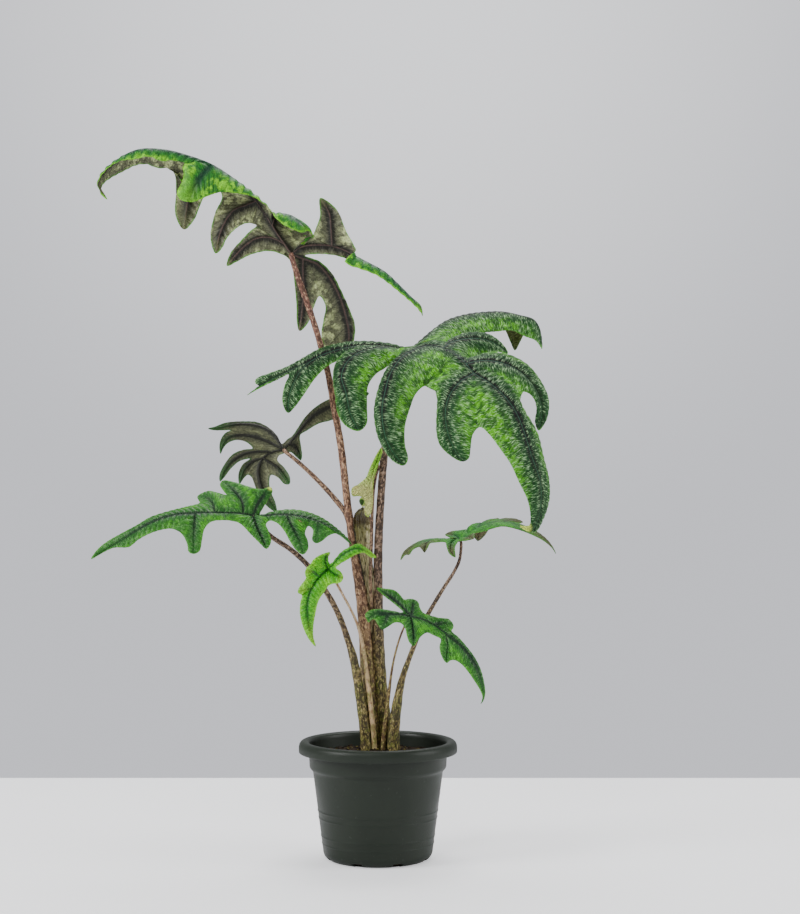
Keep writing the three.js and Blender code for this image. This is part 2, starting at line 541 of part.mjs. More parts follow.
// A stalk is a path of landmarks, each with the stalk's radius there, from the blade to the mix.
const STALKS = {
  stalk_top: {
    slot: 'stalk_pink', blade: 'blade_top',
    path: [[290.7, 252, -3, 2.6], [292.3, 259, -7.5, 3.2], [298, 277, -5, 3.5], [307, 302, 1, 3.6],
      [316, 329, 8, 3.6], [322, 350, 13, 3.7], [328.5, 375, 15, 3.8], [334, 406, 15, 4.1],
      [341, 446, 12, 4.3], [348.3, 509, 8, 4.4], [355, 555, 4, 5.4], [362, 600, 2, 6.4],
      [366.5, 650, 2, 6.8], [370.5, 700, 4, 7], [375, 745, 6.5, 7], [375.5, 775, 7, 6.6]],
  },
  stalk_velvet: {
    slot: 'stalk_brown', blade: 'blade_velvet',
    path: [[409, 347, 8, 2.8], [407, 354, 7.5, 3.2], [402, 369, 7, 3.5], [395, 395, 4, 3.7],
      [388.5, 425, 1, 3.9], [384.8, 451, -1, 4.1], [380.3, 509, 0, 4.3], [378.3, 555, 2, 4.8],
      [378.2, 600, 4, 5.3], [378.5, 650, 5, 6.8], [382.2, 700, 6, 6.9], [387.9, 745, 7, 6.9],
      [388, 775, 7, 6.6]],
  },
  stalk_rear: {
    slot: 'stalk_pink', blade: 'blade_rear',
    path: [[283, 449, 43, 2], [286.5, 452.5, 37.5, 2.3], [300, 463.5, 34, 2.5], [318, 480.5, 29, 2.8],
      [335, 499, 24, 3.2], [346, 514, 20, 3.3], [351, 532, 18, 3.4], [354.5, 556, 17, 3.5],
      [360, 600, 15.5, 3.8], [363, 650, 15, 4.2], [364.5, 700, 13.5, 4.5], [364.8, 745, 11, 4.5],
      [364.8, 775, 11, 4.3]],
  },
  stalk_left: {
    slot: 'stalk_brown', blade: 'blade_left',
    path: [[253, 515, -31, 2], [254.5, 518.5, -26.5, 2.3], [262, 528, -23, 2.6], [272, 537, -22, 2.9],
      [291, 549.7, -22, 3], [308.5, 566, -22, 3.1], [321, 584, -21, 3.2], [331.3, 600, -20, 3.4],
      [341, 620, -18, 3.5], [348, 640, -15.5, 3.8], [353.5, 658, -13.5, 4.9], [360.5, 697, -9.5, 5.9],
      [366.5, 745, -7, 6.7], [366.8, 775, -7, 6.4]],
  },
  stalk_lime: {
    slot: 'stalk_pale', blade: 'blade_lime',
    path: [[327.5, 568, -43, 1.1], [330, 572, -39.5, 1.2], [337, 584, -35, 1.2], [343, 595, -31, 1.2],
      [350, 608, -26, 1.2], [356.5, 622, -20, 1.3], [361, 637, -15, 1.6], [364, 652, -12.5, 2],
      [367.5, 680, -11, 2.3], [370.8, 705, -10.5, 2.5], [374.5, 745, -9.5, 2.6], [375, 775, -9.5, 2.5]],
  },
  stalk_right: {
    slot: 'stalk_brown', blade: 'blade_right',
    path: [[461, 540, 6, 1.5], [461.2, 545, 5.5, 1.6], [459.5, 560, 3, 1.7], [454, 572, 1, 1.8],
      [445, 586, -2, 2], [434, 604, -5, 2.2], [424, 622, -7, 2.4], [414.5, 645, -9, 2.6],
      [408, 662, -10, 2.8], [402, 680, -10.5, 3.6], [397, 706, -10, 5.4], [394, 730, -9, 6.5],
      [393.5, 745, -8.5, 6.8], [393.4, 775, -8.5, 6.5]],
  },
  stalk_front: {
    slot: 'stalk_pink', blade: 'blade_front',
    path: [[411, 615.5, -44, 0.9], [408.5, 619.5, -40.5, 1], [404.5, 626.5, -37, 1], [400.5, 636, -32, 1],
      [396.5, 649, -26, 1], [393, 664, -20, 1.1], [390.5, 680, -15.5, 1.3], [389, 693, -13, 1.6],
      [386.5, 712, -11, 2.1], [384, 735, -9.8, 2.3], [383.2, 745, -9.5, 2.4], [383, 775, -9.5, 2.3]],
  },
  stalk_new: {
    slot: 'stalk_brown', blade: 'blade_new',
    path: [[376.6, 461.5, -8.5, 1.1], [378.4, 467, -4.4, 1.4], [376.4, 475, -4.2, 1.6],
      [374.4, 484, -4.5, 1.8],
      [373.2, 495, -4.5, 1.9], [372, 520, -4, 2], [371.4, 548, -3, 2], [370.4, 573, -2, 2],
      [370.7, 590, -2, 2], [371.5, 602, -2.8, 1.9], [371.3, 612, 4, 2], [371.8, 624, 12, 2.4],
      [372.8, 638, 17, 2.6], [374, 650, 18.2, 2.7], [377, 700, 19.6, 2.9], [381, 745, 19.6, 3],
      [381, 775, 19.6, 3]],
  },
};

// The papery sheath is a trough behind the new leaf's stalk, open towards the viewer.
// Its path is [across, down, behind, radius]. Left and right are how far its wings wrap forward.
const SHEATH = {
  slot: 'sheath_papery', thickness: 0.9, left: 1.75, right: 0.87, step: 9, columns: 8,
  path: [[363, 511, -5, 5], [363.2, 519, -5, 7.8], [363.7, 532, -5, 8.3], [364.4, 548, -3, 7.2],
    [367.5, 568, -1.2, 5.7], [369.6, 590, 0, 4.2], [371.3, 601, 1, 2.7]],
};

const FINISHES = {
  blade_underside: { color: 0x6f7350, roughness: 0.62 },
  blade_velvet: { color: 0x3f7a2b, roughness: 0.8 },
  blade_green: { color: 0x3d7a33, roughness: 0.45 },
  blade_lime: { color: 0x74b32b, roughness: 0.45 },
  blade_new: { color: 0xbcd25a, roughness: 0.5 },
  stalk_pink: { color: 0x9a6d5c, roughness: 0.55 },
  stalk_brown: { color: 0x5c4838, roughness: 0.55 },
  stalk_pale: { color: 0xb79d78, roughness: 0.55 },
  sheath_papery: { color: 0x6e5f3c, roughness: 0.7 },
  pot_plastic: { color: 0x424744, roughness: 0.5 },
  potting_mix: { color: 0x2d2419, roughness: 0.95 },
};

const wasm = await Module();
wasm.setup();

// Solids and cuts

function toGeometry(points, triangles) {
  const geometry = new THREE.BufferGeometry();
  const positions = points.flatMap((point) => point.toArray());
  geometry.setAttribute('position', new THREE.Float32BufferAttribute(positions, 3));
  geometry.setIndex(triangles);
  return geometry;
}

function toSolid(geometry) {
  const bare = geometry.clone();
  bare.deleteAttribute('normal');
  bare.deleteAttribute('uv');
  const merged = mergeVertices(bare, 1e-4);
  const triangles = [];
  for (let i = 0; i < merged.index.count; i += 3) {
    const [a, b, c] = merged.index.array.slice(i, i + 3);
    if (a !== b && b !== c && a !== c) triangles.push(a, b, c);
  }
  return new wasm.Manifold(new wasm.Mesh({
    numProp: 3,
    vertProperties: new Float32Array(merged.attributes.position.array),
    triVerts: new Uint32Array(triangles),
  }));
}

function fromSolid(solid) {
  const { vertProperties, triVerts } = solid.getMesh();
  const geometry = new THREE.BufferGeometry();
  geometry.setAttribute('position', new THREE.Float32BufferAttribute(vertProperties, 3));
  geometry.setIndex(Array.from(triVerts));
  return geometry;
}

// The solid moved a little each way along every axis, all joined: what must stay clear of it
function roomAround(geometry) {
  const ways = [[1, 0, 0], [-1, 0, 0], [0, 1, 0], [0, -1, 0], [0, 0, 1], [0, 0, -1]];
  const moved = ways.map(([x, y, z]) => toSolid(geometry.clone().translate(x * ROOM, y * ROOM, z * ROOM)));
  return moved.reduce((all, solid) => all.add(solid));
}

function largestBody(solid) {
  return solid.decompose().sort((a, b) => b.volume() - a.volume())[0];
}

// Curves

function smoothLine(points, closed = false) {
  const curve = new THREE.CatmullRomCurve3(points, closed, 'centripetal');
  const count = (closed ? points.length : points.length - 1) * SPAN_STEPS;
  return Array.from({ length: count + 1 }, (_, i) => curve.getPoint(i / count));
}

function runLengths(line) {
  const lengths = [0];
  for (let i = 1; i < line.length; i += 1) {
    lengths.push(lengths[i - 1] + line[i].distanceTo(line[i - 1]));
  }
  return lengths;
}

function pointAt(line, lengths, wanted) {
  let i = 1;
  while (i < line.length - 1 && lengths[i] < wanted) i += 1;
  const share = (wanted - lengths[i - 1]) / (lengths[i] - lengths[i - 1] || 1);
  return line[i - 1].clone().lerp(line[i], THREE.MathUtils.clamp(share, 0, 1));
}

function evenPoints(line, count) {
  const lengths = runLengths(line);
  const total = lengths[lengths.length - 1];
  return Array.from({ length: count + 1 }, (_, k) => pointAt(line, lengths, (total * k) / count));
}

function nearestIndex(line, target) {
  const distances = line.map((point) => point.distanceTo(target));
  return distances.indexOf(Math.min(...distances));
}

// Ribs: every rib is a chain of vertex numbers, and a rib shares its first vertex with its parent.
// For each lobe this gives ids, the vertices from its point down its ribs to the base of the
// midrib, and root, where in them its own rib ends.
function ribChains(lobes, step, points) {
  const lines = lobes.map((lobe) => smoothLine(lobe.rib.map(place)));
  const parents = lobes.map((lobe) => {
    if (lobe.name === 'tip') return null;
    return lobes.findIndex((other) => other.name === (lobe.on ?? 'tip'));
  });
  const roots = lobes.map((_, i) => (parents[i] === null ? 0 : nearestIndex(lines[parents[i]], lines[i][0])));
  const chains = [];

  function chainOf(i) {
    if (chains[i]) return chains[i];
    const line = lines[i];
    const forks = roots.filter((_, j) => parents[j] === i);
    const stations = [...new Set([0, ...forks, line.length - 1])].sort((a, b) => a - b);
    const first = parents[i] === null ? points.push(line[0]) - 1 : chainOf(parents[i]).at.get(roots[i]);
    const chain = { ids: [first], at: new Map([[0, first]]) };
    for (let s = 1; s < stations.length; s += 1) {
      const piece = line.slice(stations[s - 1], stations[s] + 1);
      const total = runLengths(piece)[piece.length - 1];
      const least = s === stations.length - 1 ? 2 : 1;
      const count = Math.max(least, Math.round(total / step));
      evenPoints(piece, count).slice(1).forEach((point) => chain.ids.push(points.push(point) - 1));
      chain.at.set(stations[s], chain.ids[chain.ids.length - 1]);
    }
    chains[i] = chain;
    return chain;
  }

  return lobes.map((_, i) => {
    const ids = [...chainOf(i).ids].reverse();
    const root = ids.length - 1;
    for (let j = i; parents[j] !== null; j = parents[j]) {
      const parent = chainOf(parents[j]).ids;
      ids.push(...parent.slice(0, parent.indexOf(ids[ids.length - 1])).reverse());
    }
    return { ids, root };
  });
}

// The way from one lobe's point to the next along the ribs, and the stretch of it the notch faces
function pathBetween(down, next) {
  const meet = down.ids.findIndex((id) => next.ids.includes(id));
  const back = next.ids.indexOf(down.ids[meet]);
  const path = [...down.ids.slice(0, meet + 1), ...next.ids.slice(0, back).reverse()];
  return { path, floor: [Math.min(meet, down.root), path.length - 1 - Math.min(back, next.root)] };
}

// Panels: between two neighbouring lobe points the blade has two halves, parted by a fold line
// from the fork of their ribs to the notch. Each half is a strip from a rib to margin and fold.

// The edge point each rib point is joined to: both run in order, every point of the fold is used,
// and the joins are as short, and the margin's steps as even, as they can be together.
// The notch is edge[notch], and the fold is the points after it.
function pairColumns(rib, edge, notch) {
  const spacing = edge[0].distanceTo(edge[1]);
  const even = notch / (rib.length - edge.length + notch);
  const least = Math.min(notch, Math.ceil(FINEST_EDGE / spacing));
  const costs = rib.map(() => edge.map(() => Infinity));
  const origins = rib.map(() => edge.map(() => 0));
  costs[0][0] = 0;
  for (let j = 1; j < rib.length; j += 1) {
    for (let m = 1; m < edge.length; m += 1) {
      const mayRepeat = m >= notch && m < edge.length - 1;
      for (let k = m > notch ? m - 1 : 0; k < m + (mayRepeat ? 1 : 0); k += 1) {
        const onMargin = m <= notch && k < m;
        if (onMargin && m - k < least) continue;
        const uneven = onMargin ? ((m - k - even) * spacing) ** 2 : 0;
        const cost = costs[j - 1][k] + rib[j].distanceToSquared(edge[m]) + uneven;
        if (cost < costs[j][m]) {
          costs[j][m] = cost;
          origins[j][m] = k;
        }
      }
    }
  }
  const picks = [edge.length - 1];
  for (let j = rib.length - 1; j > 0; j -= 1) picks.unshift(origins[j][picks[0]]);
  return picks;
}

// The blade swells between its ribs: an arch from rib to margin, which becomes, deep in the
// fold, a climb that levels off at the fold line
function riseAt(q, depth) {
  const level = 1 - (1 - depth) ** 2;
  return THREE.MathUtils.lerp(4 * q * (1 - q), 1 - (1 - q) ** 2, level);
}

function panelHalf(ribIds, margin, fold, points) {
  const rib = ribIds.map((id) => points[id]);
  const edge = [...evenPoints(margin, MARGIN_STEPS).slice(0, -1), ...fold.map((id) => points[id])];
  const rows = ROWS.map(() => []);
  const lifts = [];
  const rim = [];
  pairColumns(rib, edge, MARGIN_STEPS).forEach((pick, j) => {
    if (j === 0 || j === rib.length - 1) {
      rows.forEach((row) => row.push(ribIds[j]));
      return;
    }
    const onFold = pick >= MARGIN_STEPS;
    const edgeId = onFold ? fold[pick - MARGIN_STEPS] : points.push(edge[pick]) - 1;
    if (!onFold) rim.push(edgeId);
    const between = ROWS.slice(1, -1).map((q) => points.push(rib[j].clone().lerp(edge[pick], q)) - 1);
    const depth = onFold ? (pick - MARGIN_STEPS) / (fold.length - 1) : 0;
    const width = rib[j].distanceTo(edge[pick]);
    [ribIds[j], ...between, edgeId].forEach((id, r) => {
      rows[r].push(id);
      lifts.push({ id, height: SWELL * width * riseAt(ROWS[r], depth), shared: onFold && id === edgeId });
    });
  });
  return { rows, lifts, rim };
}

// From the notch towards the fork, midway between the ribs on either side
function foldLine(inner, split, notchPoint, reach, count) {
  const sides = [inner.slice(0, split + 1).reverse(), inner.slice(split)];
  const midway = (distance) => {
    const [a, b] = sides.map((side) => pointAt(side, runLengths(side), distance));
    return a.lerp(b, 0.5);
  };
  const miss = notchPoint.clone().sub(midway(reach));
  return Array.from({ length: count }, (_, k) => {
    const share = 1 - k / count;
    return midway(share * reach).addScaledVector(miss, share);
  });
}

function stripTriangles(rows) {
  const triangles = [];
  for (let r = 1; r < rows.length; r += 1) {
    for (let j = 1; j < rows[r].length; j += 1) {
      const [a, b, c, d] = [rows[r - 1][j - 1], rows[r - 1][j], rows[r][j], rows[r][j - 1]];
      if (a !== b && b !== c && a !== c) triangles.push([a, b, c]);
      if (a !== c && c !== d && a !== d) triangles.push([a, c, d]);
    }
  }
  return triangles;
}

function panel({ path, floor }, margin, notch, points) {
  const inner = path.map((id) => points[id]);
  const split = floor[0] + nearestIndex(inner.slice(floor[0], floor[1] + 1), margin[notch]);
  const shortest = Math.min(split, path.length - 1 - split);
  const reach = inner[split].distanceTo(margin[notch]);
  const foldCount = THREE.MathUtils.clamp(Math.round(reach / FOLD_STEP), 1, shortest - 1);
  const foldPoints = foldLine(inner, split, margin[notch], reach, foldCount);
  const fold = [...foldPoints.map((point) => points.push(point) - 1), path[split]];
  const first = panelHalf(path.slice(0, split + 1), margin.slice(0, notch + 1), fold, points);
  const second = panelHalf(path.slice(split).reverse(), margin.slice(notch).reverse(), fold, points);
  second.rows.forEach((row) => row.reverse());
  return {
    triangles: [...stripTriangles(first.rows), ...stripTriangles(second.rows)],
    rim: [path[0], ...first.rim, fold[0], ...second.rim.reverse()],
    lifts: [...first.lifts, ...second.lifts],
  };
}

function vertexNormals(points, triangles) {
  const normals = points.map(() => new THREE.Vector3());
  triangles.forEach((corners) => {
    const [a, b, c] = corners.map((id) => points[id]);
    const facing = b.clone().sub(a).cross(c.clone().sub(a));
    corners.forEach((id) => normals[id].add(facing));
  });
  return normals.map((normal) => normal.normalize());
}

// The blade as a sheet of panels, swollen towards its upper side
function bladeSheet({ lobes, side, step }) {
  const points = [];
  const downs = ribChains(lobes, step, points);
  const ribCount = points.length;
  const landmarks = lobes.flatMap((lobe) => [lobe.rib[lobe.rib.length - 1], ...lobe.edge]);
  const outline = smoothLine(landmarks.map(place), true);
  const triangles = [];
  const rim = [];
  const lifts = [];
  let start = 0;
  lobes.forEach((lobe, i) => {
    const end = start + (lobe.edge.length + 1) * SPAN_STEPS;
    const way = pathBetween(downs[i], downs[(i + 1) % lobes.length]);
    const part = panel(way, outline.slice(start, end + 1), (lobe.notch + 1) * SPAN_STEPS, points);
    triangles.push(...part.triangles);
    rim.push(...part.rim);
    lifts.push(...part.lifts);
    start = end;
  });

  const flat = vertexNormals(points, triangles);
  const heights = points.map(() => 0);
  lifts.forEach(({ id, height, shared }) => {
    heights[id] = shared && heights[id] > 0 ? Math.min(heights[id], height) : height;
  });
  points.forEach((point, id) => point.addScaledVector(flat[id], heights[id] * side));
  return { points, triangles, rim, ribCount };
}

// A blade is that sheet given a thickness, with each rib standing out underneath
function bladeGeometry(blade) {
  const { points, triangles, rim, ribCount } = bladeSheet(blade);
  const normals = vertexNormals(points, triangles);
  const count = points.length;

  function face(way) {
    return points.map((point, id) => {
      const relief = id < ribCount && way !== blade.side ? RIB_RELIEF : 0;
      return point.clone().addScaledVector(normals[id], way * (BLADE_THICKNESS / 2 + relief));
    });
  }

  const faces = triangles.flatMap(([a, b, c]) => [a, b, c, a + count, c + count, b + count]);
  rim.forEach((a, i) => {
    const b = rim[(i + 1) % rim.length];
    faces.push(a, b, b + count, a, b + count, a + count);
  });
  return toGeometry([...face(1), ...face(-1)], faces);
}

// Stalks and the sheath are rings of points along a path whose radius changes
function pathRings(path, step) {
  const line = smoothLine(path.map(place));
  const lengths = runLengths(line);
  const total = lengths[lengths.length - 1];
  const count = Math.round(total / step);
  return Array.from({ length: count + 1 }, (_, k) => {
    const wanted = (total * k) / count;
    const centre = pointAt(line, lengths, wanted);
    const ahead = pointAt(line, lengths, Math.min(wanted + 1, total));
    const behind = pointAt(line, lengths, Math.max(wanted - 1, 0));
    const i = Math.max(1, lengths.findIndex((length) => length >= wanted - 1e-6));
    const share = (wanted - lengths[i - 1]) / (lengths[i] - lengths[i - 1]);
    const spot = (i - 1 + share) / SPAN_STEPS;
    const knot = Math.min(Math.floor(spot), path.length - 2);
    const radius = THREE.MathUtils.lerp(path[knot][3], path[knot + 1][3], spot - knot);
    return { centre, along: ahead.sub(behind).normalize(), radius };
  });
}

// grow makes the stalk thicker and longer by that much, for the hole it stands in
function stalkGeometry({ path }, grow = 0) {
  const rings = pathRings(path, STALK_STEP);
  const end = rings[rings.length - 1];
  rings[0].centre.addScaledVector(rings[0].along, -grow);
  end.centre.addScaledVector(end.along, grow);
  const points = rings.flatMap(({ centre, along, radius }) => {
    const across = new THREE.Vector3(0, 1, 0).cross(along).normalize();
    const out = along.clone().cross(across);
    return Array.from({ length: STALK_SIDES }, (_, i) => {
      const turn = (2 * Math.PI * i) / STALK_SIDES;
      return centre.clone()
        .addScaledVector(across, Math.cos(turn) * (radius + grow))
        .addScaledVector(out, Math.sin(turn) * (radius + grow));
    });
  });
  const at = (ring, i) => ring * STALK_SIDES + (i % STALK_SIDES);
  const last = rings.length - 1;
  const faces = [];
  for (let r = 1; r <= last; r += 1) {
    for (let i = 0; i < STALK_SIDES; i += 1) {
      faces.push(at(r - 1, i), at(r - 1, i + 1), at(r, i + 1));
      faces.push(at(r - 1, i), at(r, i + 1), at(r, i));
    }
  }
  for (let i = 1; i < STALK_SIDES - 1; i += 1) {
    faces.push(at(0, 0), at(0, i + 1), at(0, i));
    faces.push(at(last, 0), at(last, i), at(last, i + 1));
  }
  return toGeometry(points, faces);
}

function sheathGeometry() {
  const { path, left, right, thickness, step, columns } = SHEATH;
  const rings = pathRings(path, step);
  const width = columns + 1;
  const count = rings.length * width;

  function face(offset) {
    return rings.flatMap(({ centre, radius }) => Array.from({ length: width }, (_, i) => {
      const turn = -left + ((left + right) * i) / columns;
      const reach = radius + offset;
      return new THREE.Vector3(Math.sin(turn) * reach, Math.cos(turn) * reach, 0).add(centre);
    }));
  }

  const faces = [];
  for (let r = 1; r < rings.length; r += 1) {
    for (let i = 1; i < width; i += 1) {
      const [a, b, c, d] = [(r - 1) * width + i - 1, (r - 1) * width + i, r * width + i, r * width + i - 1];
      faces.push(a, b, c, a, c, d);
      faces.push(a + count, c + count, b + count, a + count, d + count, c + count);
    }
  }
  const last = rings.length - 1;
  const rim = [];
  for (let i = 0; i < columns; i += 1) rim.push(i);
  for (let r = 0; r < last; r += 1) rim.push(r * width + columns);
  for (let i = columns; i > 0; i -= 1) rim.push(last * width + i);
  for (let r = last; r > 0; r -= 1) rim.push(r * width);
  rim.forEach((a, i) => {
    const b = rim[(i + 1) % rim.length];
    faces.push(b, a, a + count, b, a + count, b + count);
  });
  return toGeometry([...face(thickness / 2), ...face(-thickness / 2)], faces);
}

// A turned body: its profile is [radius, height] and starts and ends on the axis
function turned(profile, sides) {
  const outline = profile.map(([radius, height]) => new THREE.Vector2(radius, height));
  return new THREE.LatheGeometry(outline, sides).rotateX(Math.PI / 2);
}

// Pot

function bodyRadius(height) {
  const [lowRadius, lowHeight] = FOOT[FOOT.length - 1];
  const [highRadius, highHeight] = COLLAR[0];
  return THREE.MathUtils.mapLinear(height, lowHeight, highHeight, lowRadius, highRadius);
}

function potGeometry() {
  const rings = RING_HEIGHTS.flatMap((height) => [
    [bodyRadius(height - RING_HALF_WIDTH), height - RING_HALF_WIDTH],
    [bodyRadius(height) + RING_RELIEF, height],
    [bodyRadius(height + RING_HALF_WIDTH), height + RING_HALF_WIDTH],
  ]);
  const shell = toSolid(turned([...FOOT, ...rings, ...COLLAR, ...LIP, ...INSIDE, [0, FLOOR]], POT_SIDES));
  const notches = Array.from({ length: NOTCH_COUNT }, (_, i) => {
    const box = new THREE.BoxGeometry(NOTCH_DEPTH * 2, NOTCH_WIDTH, NOTCH_RISE * 2);
    box.translate(FOOT_RADIUS, 0, 0);
    box.rotateZ((2 * Math.PI * (i + 0.5)) / NOTCH_COUNT);
    return toSolid(box);
  });
  return fromSolid(notches.reduce((pot, notch) => pot.subtract(notch), shell));
}

// Potting mix

function mound(radius) {
  return MOUND_HEIGHT * Math.exp(-((radius / MOUND_REACH) ** 2));
}

function unevenness(x, y) {
  return MIX_WAVES.reduce((sum, [height, across, back]) => sum + height * Math.sin(x * across + y * back), 0);
}

function mixGeometry(stalks) {
  const wall = INSIDE.toReversed().map(([radius, height]) => [radius - GAP, height + GAP / 2]);
  wall[0][1] = FLOOR + GAP;
  const [lowRadius, lowHeight] = INSIDE[0];
  const [highRadius, highHeight] = LIP[LIP.length - 1];
  const edge = THREE.MathUtils.mapLinear(MIX_LEVEL, lowHeight, highHeight, lowRadius, highRadius) - GAP;
  const top = [edge, ...MIX_RINGS, 0].map((radius) => [radius, MIX_LEVEL + mound(radius)]);
  const body = turned([[0, FLOOR + GAP], ...wall, ...top], MIX_SIDES);
  const spots = body.attributes.position;
  for (let i = 0; i < spots.count; i += 1) {
    const [x, y, z] = [spots.getX(i), spots.getY(i), spots.getZ(i)];
    if (z > MIX_LEVEL && Math.hypot(x, y) < edge - 0.1) spots.setZ(i, z + unevenness(x, y));
  }
  const holes = stalks.map((stalk) => toSolid(stalkGeometry(stalk, GAP)));
  return fromSolid(largestBody(holes.reduce((mix, hole) => mix.subtract(hole), toSolid(body))));
}

// Assembly

function addNode(group, name, slot, geometry) {
  const flat = geometry.toNonIndexed();
  flat.computeVertexNormals();
  const mesh = new THREE.Mesh(flat, new THREE.MeshStandardMaterial({ ...FINISHES[slot], metalness: 0 }));
  mesh.name = name;
  group.add(mesh);
}

const plant = new THREE.Group();
plant.name = 'potted_alocasia';
addNode(plant, 'pot', 'pot_plastic', potGeometry());
addNode(plant, 'potting_mix', 'potting_mix', mixGeometry(Object.values(STALKS)));
addNode(plant, 'sheath', SHEATH.slot, sheathGeometry());
Object.entries(BLADES).forEach(([name, blade]) => addNode(plant, name, blade.slot, bladeGeometry(blade)));
Object.entries(STALKS).forEach(([name, stalk]) => {
  const room = roomAround(bladeGeometry(BLADES[stalk.blade]));
  const cut = largestBody(toSolid(stalkGeometry(stalk)).subtract(room));
  addNode(plant, name, stalk.slot, fromSolid(cut));
});

export default plant;
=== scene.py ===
# %% [markdown]
# # A potted Alocasia tandurusa
#
# This lesson dresses a house plant: seven deeply lobed leaves and one new leaf, on mottled stalks,
# in a round nursery pot. The solid model of the plant is loaded first and stays fixed. Every surface
# made below takes the place of one of its pieces, in the same frame, with finer shape and a finish.

import math

import bpy
import numpy as np
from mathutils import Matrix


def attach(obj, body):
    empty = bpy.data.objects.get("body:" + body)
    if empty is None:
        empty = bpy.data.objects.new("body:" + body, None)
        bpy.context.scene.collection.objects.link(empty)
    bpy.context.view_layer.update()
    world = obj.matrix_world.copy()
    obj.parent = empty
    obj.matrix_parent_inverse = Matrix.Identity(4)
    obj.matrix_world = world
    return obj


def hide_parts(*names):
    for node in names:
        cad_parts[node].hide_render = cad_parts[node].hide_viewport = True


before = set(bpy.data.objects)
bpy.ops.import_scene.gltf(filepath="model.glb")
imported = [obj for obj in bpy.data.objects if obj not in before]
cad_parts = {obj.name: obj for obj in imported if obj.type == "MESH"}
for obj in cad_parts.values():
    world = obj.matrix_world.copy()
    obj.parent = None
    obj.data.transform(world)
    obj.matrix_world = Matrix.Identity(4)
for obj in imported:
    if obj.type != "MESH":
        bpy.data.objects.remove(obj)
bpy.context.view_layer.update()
MM = 0.001
print("pieces in the solid model:", len(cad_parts))

# %% [markdown]
# ## Camera, floor and light
#
# The plant is seen level, from 2.4 m in front and a little to the right of the pot. A long lens keeps
# the leaves' proportions. The lens is worked out from its focal length in pixels, because a picture's
# landmarks were judged in pixels too. The camera looks along +Y, so it only turns a quarter about X.

# %% Camera
IMAGE_HEIGHT = 914
FOCAL_PIXELS = 2000
SENSOR_MM = 36
EYE_MM = np.array([26.4, -2400.0, 481.8])

camera_data = bpy.data.cameras.new("camera")
camera_data.sensor_width = SENSOR_MM
camera_data.lens = FOCAL_PIXELS * SENSOR_MM / IMAGE_HEIGHT
camera = bpy.data.objects.new("camera", camera_data)
camera.location = EYE_MM * MM
camera.rotation_euler = (math.pi / 2, 0, 0)
bpy.context.scene.collection.objects.link(camera)
bpy.context.scene.camera = camera
print("lens in millimetres:", round(camera_data.lens, 2))

# %% [markdown]
# ## Colours and nodes
#
# Colours are written as the hex values that a screen shows, and one function turns them into the
# linear numbers that a shader works with. Materials are built from nodes. One small function adds a
# node, sets it and links it, so that each material below reads as a list of what it is made of.

# %% Helpers for colours and nodes
def linear(code):
    """The linear colour, with alpha 1, of an sRGB hex value such as '#3c423e'."""
    parts = [int(code[i:i + 2], 16) / 255 for i in (1, 3, 5)]
    return tuple(c / 12.92 if c <= 0.04045 else ((c + 0.055) / 1.055) ** 2.4 for c in parts) + (1.0,)


def add(tree, kind, inputs=None, out=0, **settings):
    """Adds a node. Inputs are values or other nodes' sockets. Returns the socket numbered out."""
    node = tree.nodes.new(kind)
    for key, value in settings.items():
        setattr(node, key, value)
    for key, value in (inputs or {}).items():
        if isinstance(value, bpy.types.NodeSocket):
            tree.links.new(value, node.inputs[key])
        else:
            node.inputs[key].default_value = value
    return node.outputs[out] if len(node.outputs) else node


def new_material(name, **shader_values):
    """A material with one shader. Values that are the same all over are set on its own sockets."""
    material = bpy.data.materials.new(name)
    material.use_nodes = True
    shader = material.node_tree.nodes["Principled BSDF"]
    for key, value in shader_values.items():
        shader.inputs[key.replace("_", " ")].default_value = value
    return material, material.node_tree, shader


def link_up(tree, shader, colour, roughness, height, strength, depth_mm):
    """Links a colour, a roughness (None if it is the same all over) and a bump to the shader."""
    bump = add(tree, "ShaderNodeBump", {"Height": height, "Strength": strength, "Distance": depth_mm * MM})
    tree.links.new(bump, shader.inputs["Normal"])
    tree.links.new(colour, shader.inputs["Base Color"])
    if roughness is not None:
        tree.links.new(roughness, shader.inputs["Roughness"])


def put_in_scene(name, data):
    """An object that holds a mesh or a lamp, linked to the scene."""
    thing = bpy.data.objects.new(name, data)
    bpy.context.scene.collection.objects.link(thing)
    return thing


print("a mid grey on screen is, in linear numbers,", np.round(linear("#808080")[:3], 3))

# %% [markdown]
# Six small functions cover nearly every node of the materials: a mix of two colours, a straight and
# a smooth rise, a product, soft noise of a given size, and a number read from the mesh. Soft noise
# can be anything from 0 to 1, but it stays between 0.3 and 0.7 nearly everywhere. So a rise that
# starts and ends inside that range turns it into patches, and a late rise leaves only a few of them.

# %% Helpers for patterns
MIX_FACTOR, MIX_A, MIX_B, MIX_COLOUR = 0, 6, 7, 2
NOISE_LOW, NOISE_HIGH = 0.3, 0.7


def blend(tree, factor, first, second):
    """Mixes two colours, given as hex values or sockets."""
    first, second = (linear(c) if isinstance(c, str) else c for c in (first, second))
    return add(tree, "ShaderNodeMix", {MIX_FACTOR: factor, MIX_A: first, MIX_B: second}, MIX_COLOUR,
               data_type="RGBA")


def ramp(tree, value, start, end, low=0.0, high=1.0, kind="LINEAR"):
    """A straight rise from low to high while value goes from start to end."""
    return add(tree, "ShaderNodeMapRange", {0: value, 1: start, 2: end, 3: low, 4: high},
               interpolation_type=kind)


def step_up(tree, value, start, end, low=0.0, high=1.0):
    """The same rise, but smooth at both ends."""
    return ramp(tree, value, start, end, low, high, "SMOOTHSTEP")


